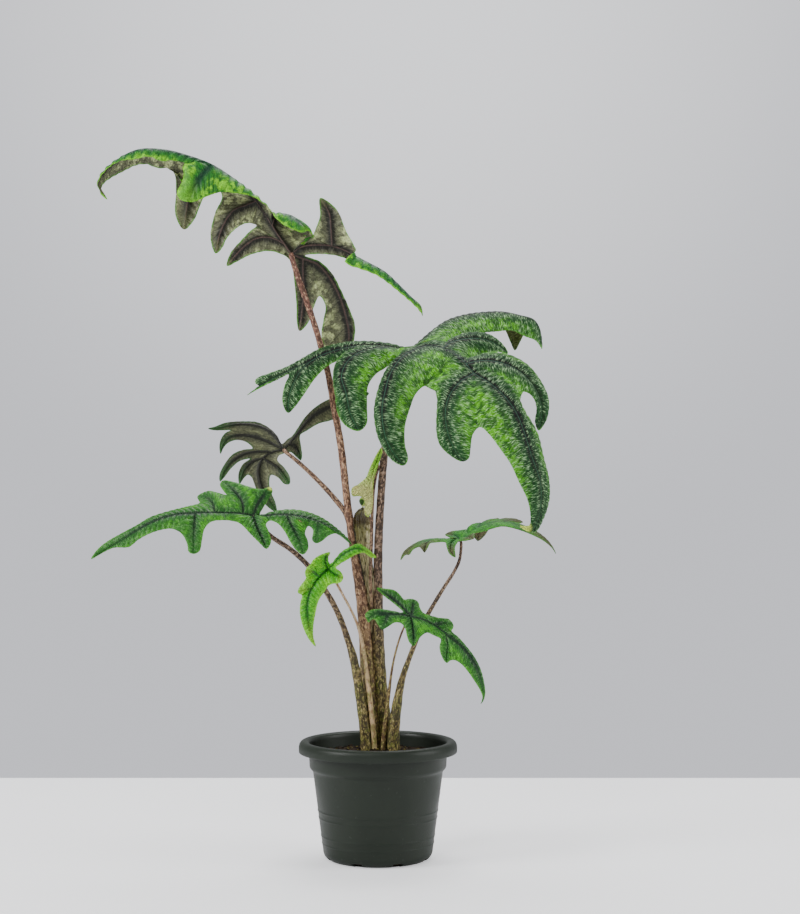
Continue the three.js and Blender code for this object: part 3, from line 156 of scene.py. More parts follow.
def product(tree, first, second, plus=None):
    """first times second, and then plus a third value if there is one."""
    if plus is None:
        return add(tree, "ShaderNodeMath", {0: first, 1: second}, operation="MULTIPLY")
    return add(tree, "ShaderNodeMath", {0: first, 1: second, 2: plus}, operation="MULTIPLY_ADD")


def noise(tree, places, size, detail=2.0, **more):
    """Soft noise whose patches are about size across, in the unit of the places it is read at."""
    inputs = {"Vector": places, "Scale": 1 / size, "Detail": detail, **more}
    return add(tree, "ShaderNodeTexNoise", inputs)


def read(tree, key, out=2):
    """An attribute of the mesh: a plain number, or a vector with out=1."""
    return add(tree, "ShaderNodeAttribute", attribute_name=key, out=out)


print("a mix node takes its two colours at sockets", MIX_A, "and", MIX_B)

# %% [markdown]
# The floor is a pale painted sheet whose far edge makes the low horizon behind the pot. It glows a
# little for the camera alone, as an overlit studio floor does in a photograph. Above it the
# backdrop is pale grey with a faint glow high up, and this is the world's colour. Only the camera
# sees that grey: for lighting the world is a soft neutral sky. Four large area lamps do the rest, as
# softboxes would. Two stand at the sides, so round things such as the pot are brighter at their edges.

# %% Floor, backdrop and lamps
FLOOR_BACK_MM = 602
FLOOR_HALF_WIDTH_MM = 4000
FLOOR_FRONT_MM = -5000
FLOOR_GLOW, BACKDROP_STRENGTH, SKY_STRENGTH = 0.6, 1.5, 0.42
GLOW_CENTRE, GLOW_EDGE, GLOW_CORE = (0.0, 0.97, 0.24), 0.32, 0.02

floor_mesh = bpy.data.meshes.new("floor")
left, right, back, front = -FLOOR_HALF_WIDTH_MM, FLOOR_HALF_WIDTH_MM, FLOOR_BACK_MM, FLOOR_FRONT_MM
floor_corners = np.array([(left, front, 0), (right, front, 0), (right, back, 0), (left, back, 0)])
floor_mesh.from_pydata(floor_corners * MM, [], [(0, 1, 2, 3)])
floor = put_in_scene("floor", floor_mesh)
paint, tree, shader = new_material("matt_white_paint", Base_Color=linear("#f2f2f4"), Roughness=0.8,
                                   Emission_Color=linear("#f4f4f6"))
to_camera = add(tree, "ShaderNodeLightPath")
tree.links.new(product(tree, to_camera, FLOOR_GLOW), shader.inputs["Emission Strength"])
floor_mesh.materials.append(paint)

world = bpy.data.worlds.new("studio")
world.use_nodes = True
bpy.context.scene.world = world
sky = world.node_tree
sky.nodes.clear()
way_out = add(sky, "ShaderNodeTexCoord", out=0)
from_glow = add(sky, "ShaderNodeVectorMath", {0: way_out, 1: GLOW_CENTRE}, out=1, operation="DISTANCE")
backdrop = blend(sky, step_up(sky, from_glow, GLOW_EDGE, GLOW_CORE), "#bfc0c6", "#eeeff3")
seen = add(sky, "ShaderNodeBackground", {"Color": backdrop, "Strength": BACKDROP_STRENGTH})
lighting = add(sky, "ShaderNodeBackground", {"Color": linear("#f2f4f7"), "Strength": SKY_STRENGTH})
is_camera = add(sky, "ShaderNodeLightPath")
both = add(sky, "ShaderNodeMixShader", {0: is_camera, 1: lighting, 2: seen})
add(sky, "ShaderNodeOutputWorld", {"Surface": both})


def softbox(name, place_m, size_m, watts, aim_m=(0, 0, 0.45)):
    """A square area lamp at a place, aimed at a point of the plant."""
    data = bpy.data.lights.new(name, "AREA")
    data.size = size_m
    data.energy = watts
    lamp = put_in_scene(name, data)
    way = np.array(place_m) - np.array(aim_m)
    yaw = math.atan2(way[0], -way[1])
    pitch = math.atan2(math.hypot(way[0], way[1]), way[2])
    lamp.location = place_m
    lamp.rotation_euler = (pitch, 0, yaw)
    return lamp


softbox("left_softbox", (-2.2, -1.1, 1.6), 1.1, 54)
softbox("right_softbox", (2.3, -0.5, 1.1), 1.3, 30)
softbox("front_softbox", (-0.7, -2.4, 2.4), 0.7, 20)
softbox("top_softbox", (0.2, 0.9, 2.4), 1.4, 42)
print("floor, backdrop and four lamps are in place")

# %% [markdown]
# ## Surfaces from arrays
#
# A surface is a grid of points worked out with numpy as whole arrays. Grids that meet along a line
# hold the very same points there, so they can be welded by their places. A quad whose corners fall
# together becomes a triangle. Every vertex also carries plain numbers, called attributes here, such
# as how far it lies from the nearest rib, and the materials read those.

# %% Grids and welding
WELD_MM = 1e-4


def grid_quads(rows, columns, first=0):
    """Corner numbers of every cell of a grid whose points are counted row by row from first."""
    ids = first + np.arange(rows * columns).reshape(rows, columns)
    cells = [ids[:-1, :-1], ids[:-1, 1:], ids[1:, 1:], ids[1:, :-1]]
    return np.stack([cell.ravel() for cell in cells], axis=1)


def weld(points, quads):
    """Joins points that share a place. Returns the new points, the quads and each old point's number."""
    keys = np.round(points / WELD_MM).astype(np.int64)
    _, first, number = np.unique(keys, axis=0, return_index=True, return_inverse=True)
    number = number.ravel()
    return points[first], number[quads], number


def mean_of(values, number, count):
    """The mean, over each welded point, of a value that its old points held."""
    return np.bincount(number, values, count) / np.bincount(number, minlength=count)


def vertex_normals(points, quads):
    """Each vertex's normal: the sum of its quads' normals, each the cross product of its diagonals."""
    a, b, c, d = (points[quads[:, i]] for i in range(4))
    facing = np.cross(c - a, d - b)
    normals = np.zeros_like(points)
    for i in range(4):
        np.add.at(normals, quads[:, i], facing)
    return normals / np.maximum(np.linalg.norm(normals, axis=1, keepdims=True), 1e-12)


small_grid = grid_quads(3, 4)
print("a grid of 3 by 4 points has", len(small_grid), "quads")

# %% [markdown]
# A mesh gets its points and corners in one go each, through foreach_set, which is far quicker than
# adding them one by one. A thin sheet becomes a closed one from two faces and a wall along their rim.
# A piece is a mesh that stands for a node of the solid model, with its finish and its numbers.

# %% Meshes and pieces
def make_mesh(name, points, quads):
    """A smooth mesh of quads in millimetres. A corner equal to the one before it is left out."""
    keep = quads != np.roll(quads, 1, axis=1)
    whole = keep.sum(axis=1) > 2
    quads, keep = quads[whole], keep[whole]
    sizes = keep.sum(axis=1)
    mesh = bpy.data.meshes.new(name)
    mesh.vertices.add(len(points))
    mesh.vertices.foreach_set("co", (points * MM).astype(np.float32).ravel())
    mesh.loops.add(int(sizes.sum()))
    mesh.loops.foreach_set("vertex_index", quads[keep].astype(np.int32))
    mesh.polygons.add(len(sizes))
    starts = np.concatenate([[0], np.cumsum(sizes)[:-1]])
    mesh.polygons.foreach_set("loop_start", starts.astype(np.int32))
    mesh.polygons.foreach_set("use_smooth", np.ones(len(sizes), bool))
    mesh.update(calc_edges=True)
    mesh.validate()
    return mesh


def open_edges(quads):
    """The directed edges that run one way only: the rim of a sheet."""
    edges = np.vstack([quads[:, [i, (i + 1) % 4]] for i in range(4)])
    edges = edges[edges[:, 0] != edges[:, 1]]
    size = int(edges.max()) + 1
    forward, backward = edges[:, 0] * size + edges[:, 1], edges[:, 1] * size + edges[:, 0]
    return edges[~np.isin(forward, backward)]


def closed_sheet(name, faces, quads):
    """Two faces of the same quads, the second one turned over, and a wall along their open rim."""
    count = len(faces[0])
    rim = open_edges(quads)
    wall = np.stack([rim[:, 1], rim[:, 0], rim[:, 0] + count, rim[:, 1] + count], axis=1)
    return make_mesh(name, np.vstack(faces), np.vstack([quads, quads[:, ::-1] + count, wall]))


def places_mm(mesh):
    """Where every point of a mesh is, in millimetres."""
    places = np.empty(len(mesh.vertices) * 3, "f")
    mesh.vertices.foreach_get("co", places)
    return places.reshape(-1, 3) / MM


def add_piece(name, mesh, node, material, attributes=None):
    """Puts a mesh in the scene for a piece of the solid model, with its numbers and its finish."""
    for key, values in (attributes or {}).items():
        kind = "FLOAT" if values.ndim == 1 else "FLOAT_VECTOR"
        layer = mesh.attributes.new(key, kind, "POINT")
        field = "value" if values.ndim == 1 else "vector"
        layer.data.foreach_set(field, values.astype(np.float32).ravel())
    mesh.materials.append(material)
    piece = put_in_scene(name, mesh)
    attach(piece, "root")
    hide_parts(node)
    print(name, "has", len(mesh.polygons), "faces")
    return piece


print("open edges of that grid:", len(open_edges(small_grid)))

# %% [markdown]
# ## Landmarks
#
# The plant is laid out landmark by landmark. A landmark is (across, down, behind): across and down are
# pixels of a picture 800 wide and 914 high, and behind is how many millimetres the point lies past the
# pot's axis. At the axis one pixel is 1.2 mm, because the pot's rim of 190 mm spans 159 of them, and
# further back a pixel covers a little more.

# %% From landmarks to places
PIXEL_MM = 1.2
CENTRE_ACROSS, CENTRE_DOWN = 400, 457


def place(landmarks):
    """Landmarks to points in millimetres: each lies on its line of sight, at its own depth."""
    marks = np.asarray(landmarks, float)
    across, down, behind = marks[:, 0], marks[:, 1], marks[:, 2]
    pixel = PIXEL_MM * (1 - behind / EYE_MM[1])
    x = EYE_MM[0] + (across - CENTRE_ACROSS) * pixel
    z = EYE_MM[2] + (CENTRE_DOWN - down) * pixel
    return np.stack([x, behind, z], axis=1)


print("the pot's axis meets the floor at", place([(378, 858.5, 0)]).round(1))

# %% [markdown]
# ## Smooth lines
#
# Ribs, margins and stalks run smoothly through their landmarks. A centripetal Catmull-Rom curve does
# this without loops or overshoot. Points are then read off a line by the length run along it.

# %% Curves and lengths
SPAN_STEPS = 16


def smooth_line(points, closed=False):
    """A centripetal Catmull-Rom curve: between two points a cubic, whose slopes weigh the steps to
    the neighbours by the square roots of their lengths."""
    p = np.asarray(points, float)
    ends = (p[-1:], p[:2]) if closed else (2 * p[:1] - p[1:2], 2 * p[-1:] - p[-2:-1])
    p = np.vstack([ends[0], p, ends[1]])
    p0, p1, p2, p3 = p[:-3], p[1:-2], p[2:-1], p[3:]
    gaps = (p1 - p0, p2 - p1, p3 - p2)
    d0, d1, d2 = (np.sqrt(np.linalg.norm(gap, axis=1))[:, None] for gap in gaps)
    out = d1 * ((p1 - p0) / d0 - (p2 - p0) / (d0 + d1) + (p2 - p1) / d1)
    into = d1 * ((p2 - p1) / d1 - (p3 - p1) / (d1 + d2) + (p3 - p2) / d2)
    t = (np.arange(SPAN_STEPS) / SPAN_STEPS)[None, :, None]
    start, end = p1[:, None], p2[:, None]
    bend = (-3 * start + 3 * end - 2 * out[:, None] - into[:, None]) * t ** 2
    twist = (2 * start - 2 * end + out[:, None] + into[:, None]) * t ** 3
    line = (start + out[:, None] * t + bend + twist).reshape(-1, 3)
    return np.vstack([line, p2[-1:]])


def run_lengths(line):
    """The length run along a line up to each of its points."""
    return np.concatenate([[0], np.cumsum(np.linalg.norm(np.diff(line, axis=0), axis=1))])


def points_at(line, wanted):
    """The points where these lengths have been run."""
    run = run_lengths(line)
    return np.stack([np.interp(wanted, run, line[:, i]) for i in range(3)], axis=1)


def even_points(line, count):
    """count + 1 points that split a line into equal lengths."""
    return points_at(line, run_lengths(line)[-1] * np.arange(count + 1) / count)


def nearest_index(line, target):
    """The number of the line's point that lies closest to a target."""
    return int(np.argmin(np.linalg.norm(line - target, axis=1)))


corner = smooth_line([(0, 0, 0), (10, 0, 0), (10, 10, 0)])
print("round a corner of 10 mm sides the line runs", round(run_lengths(corner)[-1], 2), "mm")

# %% [markdown]
# ## The ribs
#
# A blade hangs on its ribs. The midrib runs from the stalk to the tip, each lobe has a rib that
# leaves the midrib or another rib, and the blade lies between them. Each rib becomes a chain of
# numbered points, coarse ones first and finer ones between. Where a rib leaves another they share a
# point, so that the surfaces on both sides of every rib meet without a seam.

# %% Chains of rib points
FINE = 10


class Ribs:
    """The rib points of one blade and, for each, its way along the ribs from the stalk."""

    def __init__(self, lobes, step):
        self.lines = [smooth_line(place(lobe["rib"])) for lobe in lobes]
        names = [lobe["name"] for lobe in lobes]
        self.parents = [None if name == "tip" else names.index(lobe.get("on", "tip"))
                        for name, lobe in zip(names, lobes)]
        self.roots = [0 if parent is None else nearest_index(self.lines[parent], line[0])
                      for parent, line in zip(self.parents, self.lines)]
        self.step = step
        self.points = self.lines[names.index("tip")][:1]
        self.along = np.zeros(1)
        self.chains = {}
        self.ways = [self.way_down(i) for i in range(len(lobes))]

    def chain(self, i):
        """One rib's point numbers, outwards, and which of them lies at each fork."""
        if i not in self.chains:
            line, parent = self.lines[i], self.parents[i]
            forks = {root for root, other in zip(self.roots, self.parents) if other == i}
            stations = sorted({0, len(line) - 1} | forks)
            ids = np.array([0 if parent is None else self.chain(parent)[1][self.roots[i]]])
            at = {0: ids[0]}
            for low, high in zip(stations, stations[1:]):
                piece = line[low:high + 1]
                length = run_lengths(piece)[-1]
                least = 2 if high == stations[-1] else 1
                count = FINE * max(least, math.floor(length / self.step + 0.5))
                new = len(self.points) + np.arange(count)
                way = self.along[ids[-1]] + length * np.arange(1, count + 1) / count
                self.along = np.append(self.along, way)
                self.points = np.vstack([self.points, even_points(piece, count)[1:]])
                ids = np.append(ids, new)
                at[high] = ids[-1]
            self.chains[i] = (ids, at)
        return self.chains[i]

    def way_down(self, i):
        """From a lobe's point down its ribs to the stalk, and how many coarse steps are its own."""
        ids = self.chain(i)[0][::-1]
        own = (len(ids) - 1) // FINE
        parent = self.parents[i]
        while parent is not None:
            other = self.chain(parent)[0]
            fork = int(np.flatnonzero(other == ids[-1])[0])
            ids = np.append(ids, other[:fork][::-1])
            parent = self.parents[parent]
        return ids, own

    def between(self, i, j):
        """The way from lobe i's point to lobe j's along the ribs, and the stretch of it, in coarse
        steps, that the notch between them faces."""
        (down, own_down), (back, own_back) = self.ways[i], self.ways[j]
        meet = int(np.flatnonzero(np.isin(down[::FINE], back[::FINE]))[0])
        home = int(np.flatnonzero(back[::FINE] == down[meet * FINE])[0])
        path = np.append(down[:meet * FINE + 1], back[:home * FINE][::-1])
        return path, (min(meet, own_down), meet + home - min(home, own_back))


one_lobe = Ribs([dict(name="tip", rib=[(400, 400, 0), (400, 450, 0), (400, 500, 0)])], step=20)
print("a rib of 120 mm with a coarse step of 20 mm has", len(one_lobe.points), "points")

# %% [markdown]
# ## From rib to margin
#
# Between two lobe points the blade is a panel with two halves. They meet on a fold line, from the
# fork of the two ribs to the notch in the margin. Each half is a sheet of straight lines from a rib to
# the margin or the fold. Which rib point is joined to which margin point decides how well the sheet
# lies: the joins should be short and evenly spread, and never cross. That is a shortest-way problem,
# solved exactly by dynamic programming over the few coarse points.

# %% Pairing ribs with margins
MARGIN_STEPS = 36
FINEST_EDGE_MM = 5
FOLD_STEP_MM = 20


def pair_columns(rib, edge, notch):
    """For each coarse rib point, the edge point it is joined to. Both run in order, every fold point
    (those after the notch) is used, and the sum of squared join lengths and uneven steps is least."""
    spacing = np.linalg.norm(edge[1] - edge[0])
    even = notch / (len(rib) - len(edge) + notch)
    least = min(notch, math.ceil(FINEST_EDGE_MM / spacing))
    to, back = np.arange(len(edge))[:, None], np.arange(len(edge))[None, :]
    on_margin = (to <= notch) & (back < to)
    stay = (to >= notch) & (to < len(edge) - 1) & (back == to)
    allowed = (on_margin & (to - back >= least)) | ((to > notch) & (back == to - 1)) | stay
    uneven = np.where(on_margin, ((to - back - even) * spacing) ** 2, 0)
    step_costs = np.where(allowed, uneven, np.inf)
    costs = np.where(np.arange(len(edge)) == 0, 0, np.inf)
    origins = []
    for point in rib[1:]:
        totals = costs[None, :] + step_costs
        origins.append(totals.argmin(axis=1))
        costs = totals.min(axis=1) + ((edge - point) ** 2).sum(axis=1)
    picks = [len(edge) - 1]
    for origin in reversed(origins):
        picks.insert(0, origin[picks[0]])
    return np.array(picks)


def fold_line(inner, split, notch_point):
    """From the notch to the fork, midway between the ribs on either side, bent to start at the notch."""
    reach = np.linalg.norm(inner[split] - notch_point)
    shortest = min(split, len(inner) - 1 - split)
    count = FINE * int(np.clip(math.floor(reach / FOLD_STEP_MM + 0.5), 1, shortest - 1))
    share = 1 - np.arange(count + 1) / count
    sides = inner[:split + 1][::-1], inner[split:]
    midway = sum(points_at(side, share * reach) for side in sides) / 2
    line = midway + (notch_point - midway[0]) * share[:, None]
    line[-1] = inner[split]
    return line


straight = np.linspace((0, 0, 0), (60, 0, 0), 7)
margin = np.linspace((0, 20, 0), (60, 20, 0), 13)
print("rib points join these of 13 margin points:", pair_columns(straight, margin, 12))

# %% [markdown]
# Real blades swell between their ribs, and the tissue puffs up between the fine side veins too. Both
# are heights added to the flat sheet along its normals. Rows lie close together at the rib, where
# the surface dips into a groove, and at the thin margin.

# %% One half of a panel
SWELL = 0.13
NEAR_RIB_MM = np.array([0.7, 1.6, 2.8])
SHARES = np.array([0.32, 0.45, 0.58, 0.71, 0.83, 0.93, 1.0])
NARROW_MM = 12


def half_panel(ribs, rib_ids, margin, fold):
    """The sheet from rib (share 0) to margin and fold (share 1), with the numbers of every point:
    height of swell, distances from rib and margin, way along the ribs from the stalk, and reach, the
    share of the way to the lobe's tip."""
    rib = ribs.points[rib_ids]
    steps = (len(rib) - 1) // FINE
    even_margin = even_points(margin, MARGIN_STEPS)
    picks = pair_columns(rib[::FINE], np.vstack([even_margin[:-1], fold[::FINE]]), MARGIN_STEPS)
    pick = np.interp(np.arange(len(rib)) / FINE, np.arange(steps + 1), picks)
    past_notch = np.maximum(pick - MARGIN_STEPS, 0)
    on_fold = pick >= MARGIN_STEPS
    on_margin = points_at(margin, run_lengths(margin)[-1] * pick / MARGIN_STEPS)
    edge = np.where(on_fold[:, None], fold[np.rint(past_notch * FINE).astype(int)], on_margin)
    edge[0] = rib[0]
    width = np.linalg.norm(edge - rib, axis=1)
    close = NEAR_RIB_MM[:, None] / np.maximum(width, NARROW_MM)[None, :]
    share = np.vstack([0 * width[None], close, np.repeat(SHARES[:, None], len(width), axis=1)])
    points = rib[None] + share[:, :, None] * (edge - rib)[None]
    points[-1] = edge
    depth = past_notch * FINE / (len(fold) - 1)
    level = 1 - (1 - depth) ** 2
    rise = (1 - level) * 4 * share * (1 - share) + level * (1 - (1 - share) ** 2)
    inside = np.where(on_fold, np.linalg.norm(edge - fold[0], axis=1), 0)
    along = ribs.along[rib_ids]
    return points, dict(
        height=SWELL * width * rise,
        off_rib=share * width,
        in_margin=(1 - share) * width + inside,
        along=along + 0 * share,
        reach=along / along[0] + 0 * share)


print("rows from rib to margin:", 1 + len(NEAR_RIB_MM) + len(SHARES))

# %% [markdown]
# A blade is all its halves welded together, lifted along the normals and given a thickness. The
# upper face has a groove over each rib, and the underside a ridge. The sheet is thinnest at the
# margin, as a leaf's is. Its open rim, every edge that only one quad uses, is closed with a wall.

# %% A whole blade
HALF_THICKNESS_MM = 0.34
MARGIN_THINNING, THIN_WITHIN_MM = 0.45, 1.5
GROOVE_MM, RIDGE_MM, RIB_HALF_WIDTH_MM, RIB_TAPER = 0.42, 1.0, 1.2, 0.55
PUFF_FULL_MM, PUFF_AT_MARGIN, PUFF_MARGIN_MM = 4, 0.4, 3
SLANT = 0.55


def blade_sheet(lobes, step):
    """All panels of a blade as one welded sheet of points, quads and numbers."""
    ribs = Ribs(lobes, step)
    landmarks = [mark for lobe in lobes for mark in [lobe["rib"][-1], *lobe["edge"]]]
    outline = smooth_line(place(landmarks), closed=True)
    grids, start = [], 0
    for i, lobe in enumerate(lobes):
        end = start + (len(lobe["edge"]) + 1) * SPAN_STEPS
        notch = start + (lobe["notch"] + 1) * SPAN_STEPS
        path, (low, high) = ribs.between(i, (i + 1) % len(lobes))
        coarse = ribs.points[path[::FINE]]
        split = low + nearest_index(coarse[low:high + 1], outline[notch])
        fold = fold_line(coarse, split, outline[notch])
        cut = split * FINE
        first = half_panel(ribs, path[:cut + 1], outline[start:notch + 1], fold)
        second = half_panel(ribs, path[cut:][::-1], outline[notch:end + 1][::-1], fold)
        flipped = {key: values[:, ::-1] for key, values in second[1].items()}
        grids += [first, (second[0][:, ::-1], flipped)]
        start = end
    counts = np.cumsum([0] + [points[..., 0].size for points, _ in grids])
    shapes = [points.shape[:2] for points, _ in grids]
    quads = np.vstack([grid_quads(*shape, first) for shape, first in zip(shapes, counts)])
    points = np.vstack([points.reshape(-1, 3) for points, _ in grids])
    points, quads, number = weld(points, quads)
    numbers = {key: np.concatenate([values[key].ravel() for _, values in grids]) for key in grids[0][1]}
    welded = {key: mean_of(values, number, len(points)) for key, values in numbers.items()}
    low = np.full(len(points), np.inf)
    np.minimum.at(low, number, numbers["height"])
    welded["height"] = low
    return points, quads, welded


def blade_mesh(name, side, step, lobes, vein_mm, puff_mm):
    """The sheet lifted by its swell and by puffs between the side veins, then given two faces. side is
    1 if the sheet's normals point out of the upper face, and -1 if not. step is the coarse step in mm."""
    points, quads, numbers = blade_sheet(lobes, step)
    off, margin, along = numbers["off_rib"], numbers["in_margin"], numbers["along"]
    beat = np.cos(2 * math.pi * (along - SLANT * off) / vein_mm)
    at_margin = PUFF_AT_MARGIN + (1 - PUFF_AT_MARGIN) * np.clip(margin / PUFF_MARGIN_MM, 0, 1)
    inner = np.clip(off / PUFF_FULL_MM, 0, 1) * at_margin
    lift = numbers["height"] - puff_mm * beat * inner
    points = points + vertex_normals(points, quads) * (side * lift)[:, None]
    normals = vertex_normals(points, quads)
    at_rib = np.exp(-(off / RIB_HALF_WIDTH_MM) ** 2) * (1 - RIB_TAPER * numbers["reach"])
    half = HALF_THICKNESS_MM * (1 - MARGIN_THINNING * np.exp(-margin / THIN_WITHIN_MM))
    upper = points + normals * (side * (half - GROOVE_MM * at_rib))[:, None]
    under = points - normals * (side * (half + RIDGE_MM * at_rib))[:, None]
    faces = [upper, under] if side > 0 else [under, upper]
    doubled = {key: np.tile(numbers[key], 2) for key in ("off_rib", "in_margin", "along", "reach")}
    doubled["upper"] = np.repeat([1.0, 0.0] if side > 0 else [0.0, 1.0], len(points))
    return closed_sheet(name, faces, quads), doubled


print("thickness of a blade away from its margin:", 2 * HALF_THICKNESS_MM, "mm")

# %% [markdown]
# Every grown blade is added in the same way. Two of them have a drip tip, where water runs off. It
# is only a change of colour, so the points near it are marked with a number of their own.

# %% Adding a blade
def near(mesh, landmark, size_mm):
    """1 for the points within size_mm of a landmark, falling to 0 at twice that distance."""
    away = np.linalg.norm(places_mm(mesh) - place([landmark]), axis=1)
    return np.clip(2 - away / size_mm, 0, 1)


def add_blade(node, finish, vein_mm, puff_mm, side, step, lobes, drip=None):
    """Builds a blade from its lobes and dresses it. drip is the landmark of a pale drip tip and its
    size in mm."""
    mesh, numbers = blade_mesh(node + "_leaf", side, step, lobes, vein_mm, puff_mm)
    if drip is not None:
        numbers["drip"] = near(mesh, *drip)
    return add_piece(node + "_leaf", mesh, node, finish, numbers)


print("a landmark in front of the pot's axis lies at", place([(378, 600, -50)]).round(1), "mm")

# %% [markdown]
# ## The finish of a leaf
#
# A leaf is a thin waxy skin over green tissue. Close to the ribs it is darker, between the side
# veins it is brighter, and the margin is often pale. Underneath, this kind of plant is grey-brown to
# olive, with dark ribs. All of that follows the leaf's own shape, so the material reads the
# attributes of the mesh. Soft blotches and grain come from noise on object coordinates, with scales
# worked out from their real sizes. Real hairs stand far closer than a millimetre. They are drawn a
# millimetre apart, as coarse as they need to be to show: pale streaks square to the rib.

# %% Patterns of a leaf
BLOTCH_MM, PATCH_MM, GRAIN_MM = 13, 8, 1.7
PATCH_FROM, PATCH_FULL = 0.44, 0.58
STREAK_MM, STREAK_LENGTH_MM, STREAK_BEND_MM = 1.0, 7, 9.0
HAIR_CLUMPING, HAIR_FROM, HAIR_FULL, HAIR_ON_RIB, HAIR_CONTRAST = 0.25, 0.62, 0.83, 0.12, 0.5
VEIN_FROM, VEIN_FULL, VEIN_STRENGTH = 0.7, 1.0, 0.45
VEIN_FROM_RIB_MM, VEIN_FULL_MM = 0.5, 3.0
LINE_ENDS, BAND_ENDS, RAGGED_SHARE = (0.6, 1.3), (0.5, 1.3), 0.8
EDGE_FROM_MM, EDGE_FULL_MM, EDGE_STRENGTH = 2.6, 0.3, 0.8
EDGE_BREAKS_FROM, EDGE_BREAKS_FULL = 0.36, 0.54
DARKEST, BRIGHTEST = 0.68, 1.38
SMOOTHER, ROUGHER = 0.1, 0.14
VEIN_RELIEF, HAIR_RELIEF, RELIEF_MM = -0.5, 1.6, 0.8
BUMP_OF_SKIN, BUMP_OF_HAIR = 0.2, 0.8
DRIP_TIP = "#c2d65c"
TONES = ("line", "rib", "mid", "bright", "tip", "edge", "hair")
print("colours on each face of a leaf:", ", ".join(TONES))

# %% Material of a leaf
def leaf_material(name, upper, under, vein_mm, bands, hair, roughness, dapple=0.5, sheen=0.0,
                  tip=(0.6, 1.0, 0.6)):
    """A leaf's two faces. upper and under are the hex colours of TONES, in that order. bands are the
    distances from a rib, in mm, where the line ends, the dark band ends, and the bright tissue starts
    and is full. dapple is how patchy the bright tissue is, and hair how frosted. tip is where along a
    lobe its tip's colour starts and is full, from 0 to 1, and how strong it is."""
    line_mm, dark_mm, bright_from_mm, bright_full_mm = bands
    material, tree, shader = new_material(name, Specular_IOR_Level=0.35, Sheen_Weight=sheen,
                                          Sheen_Roughness=0.4, Sheen_Tint=linear("#dcebd4"), IOR=1.42)
    place_on = add(tree, "ShaderNodeTexCoord", out=3)
    off, margin, along, reach, face, drip = (
        read(tree, key) for key in ("off_rib", "in_margin", "along", "reach", "upper", "drip"))
    blotch = noise(tree, place_on, BLOTCH_MM * MM, 4.0)
    patch = noise(tree, place_on, PATCH_MM * MM, 3.0)
    grain = noise(tree, place_on, GRAIN_MM * MM, 3.0)

    across = product(tree, off, -SLANT, along)
    turn = product(tree, across, 2 * math.pi / vein_mm)
    beat = add(tree, "ShaderNodeMath", {0: turn}, operation="COSINE")
    side_vein = product(tree, step_up(tree, beat, VEIN_FROM, VEIN_FULL),
                        step_up(tree, off, VEIN_FROM_RIB_MM, VEIN_FULL_MM, high=VEIN_STRENGTH))

    bent = product(tree, blotch, STREAK_BEND_MM, along)
    streak_at = add(tree, "ShaderNodeCombineXYZ", {
        0: product(tree, bent, 1 / STREAK_MM), 1: product(tree, off, 1 / STREAK_LENGTH_MM), 2: face})
    streak = noise(tree, streak_at, 1.0)
    clumped = product(tree, blotch, HAIR_CLUMPING, streak)
    hairs = product(tree, step_up(tree, clumped, HAIR_FROM, HAIR_FULL, high=hair),
                    step_up(tree, off, 0.5 * line_mm, dark_mm, low=HAIR_ON_RIB))

    ragged = RAGGED_SHARE * bright_from_mm
    wobble = product(tree, blotch, ragged, off)
    shift = ragged / 2
    past_line = step_up(tree, off, *(line_mm * share for share in LINE_ENDS))
    past_rib = step_up(tree, wobble, *(dark_mm * share + shift for share in BAND_ENDS))
    between = step_up(tree, wobble, bright_from_mm + shift, bright_full_mm + shift)
    bright = product(tree, between, step_up(tree, patch, PATCH_FROM, PATCH_FULL, low=1.0 - dapple))
    near_edge = product(tree, step_up(tree, margin, EDGE_FROM_MM, EDGE_FULL_MM, high=EDGE_STRENGTH),
                        step_up(tree, blotch, EDGE_BREAKS_FROM, EDGE_BREAKS_FULL))
    far_out = step_up(tree, reach, tip[0], tip[1], high=tip[2])

    faces = []
    for codes in (under, upper):
        tone = dict(zip(TONES, codes.split()))
        skin = blend(tree, past_rib, tone["rib"], tone["mid"])
        skin = blend(tree, bright, skin, tone["bright"])
        skin = blend(tree, side_vein, skin, tone["rib"])
        skin = blend(tree, past_line, tone["line"], skin)
        skin = blend(tree, far_out, skin, tone["tip"])
        skin = blend(tree, near_edge, skin, tone["edge"])
        faces.append(blend(tree, hairs, skin, tone["hair"]))
    skin = blend(tree, drip, blend(tree, face, *faces), DRIP_TIP)
    between_hairs, on_hairs = 1 - HAIR_CONTRAST * hair, 1 + HAIR_CONTRAST * hair
    shade = product(tree, step_up(tree, grain, NOISE_LOW, NOISE_HIGH, DARKEST, BRIGHTEST),
                    step_up(tree, streak, NOISE_LOW, NOISE_HIGH, between_hairs, on_hairs))
    skin = add(tree, "ShaderNodeHueSaturation", {"Color": skin, "Value": shade})
    gloss = step_up(tree, grain, 0.2, 0.8, roughness - SMOOTHER, roughness + ROUGHER)

    relief = product(tree, beat, VEIN_RELIEF, grain)
    relief = product(tree, streak, HAIR_RELIEF * hair, relief)
    link_up(tree, shader, skin, gloss, relief, BUMP_OF_SKIN + BUMP_OF_HAIR * hair, RELIEF_MM)
    return material


print("side veins leave a rib at a slant of", SLANT, "along it for each millimetre away from it")

# %% [markdown]
# ## The top leaf
#
# The highest leaf is seen from underneath. Its front end arches over to the left, so there the bright
# green upper face shows, with a dark blotch over every rib. The underside is grey-brown with cream
# patches, dark ribs and thin green rims.

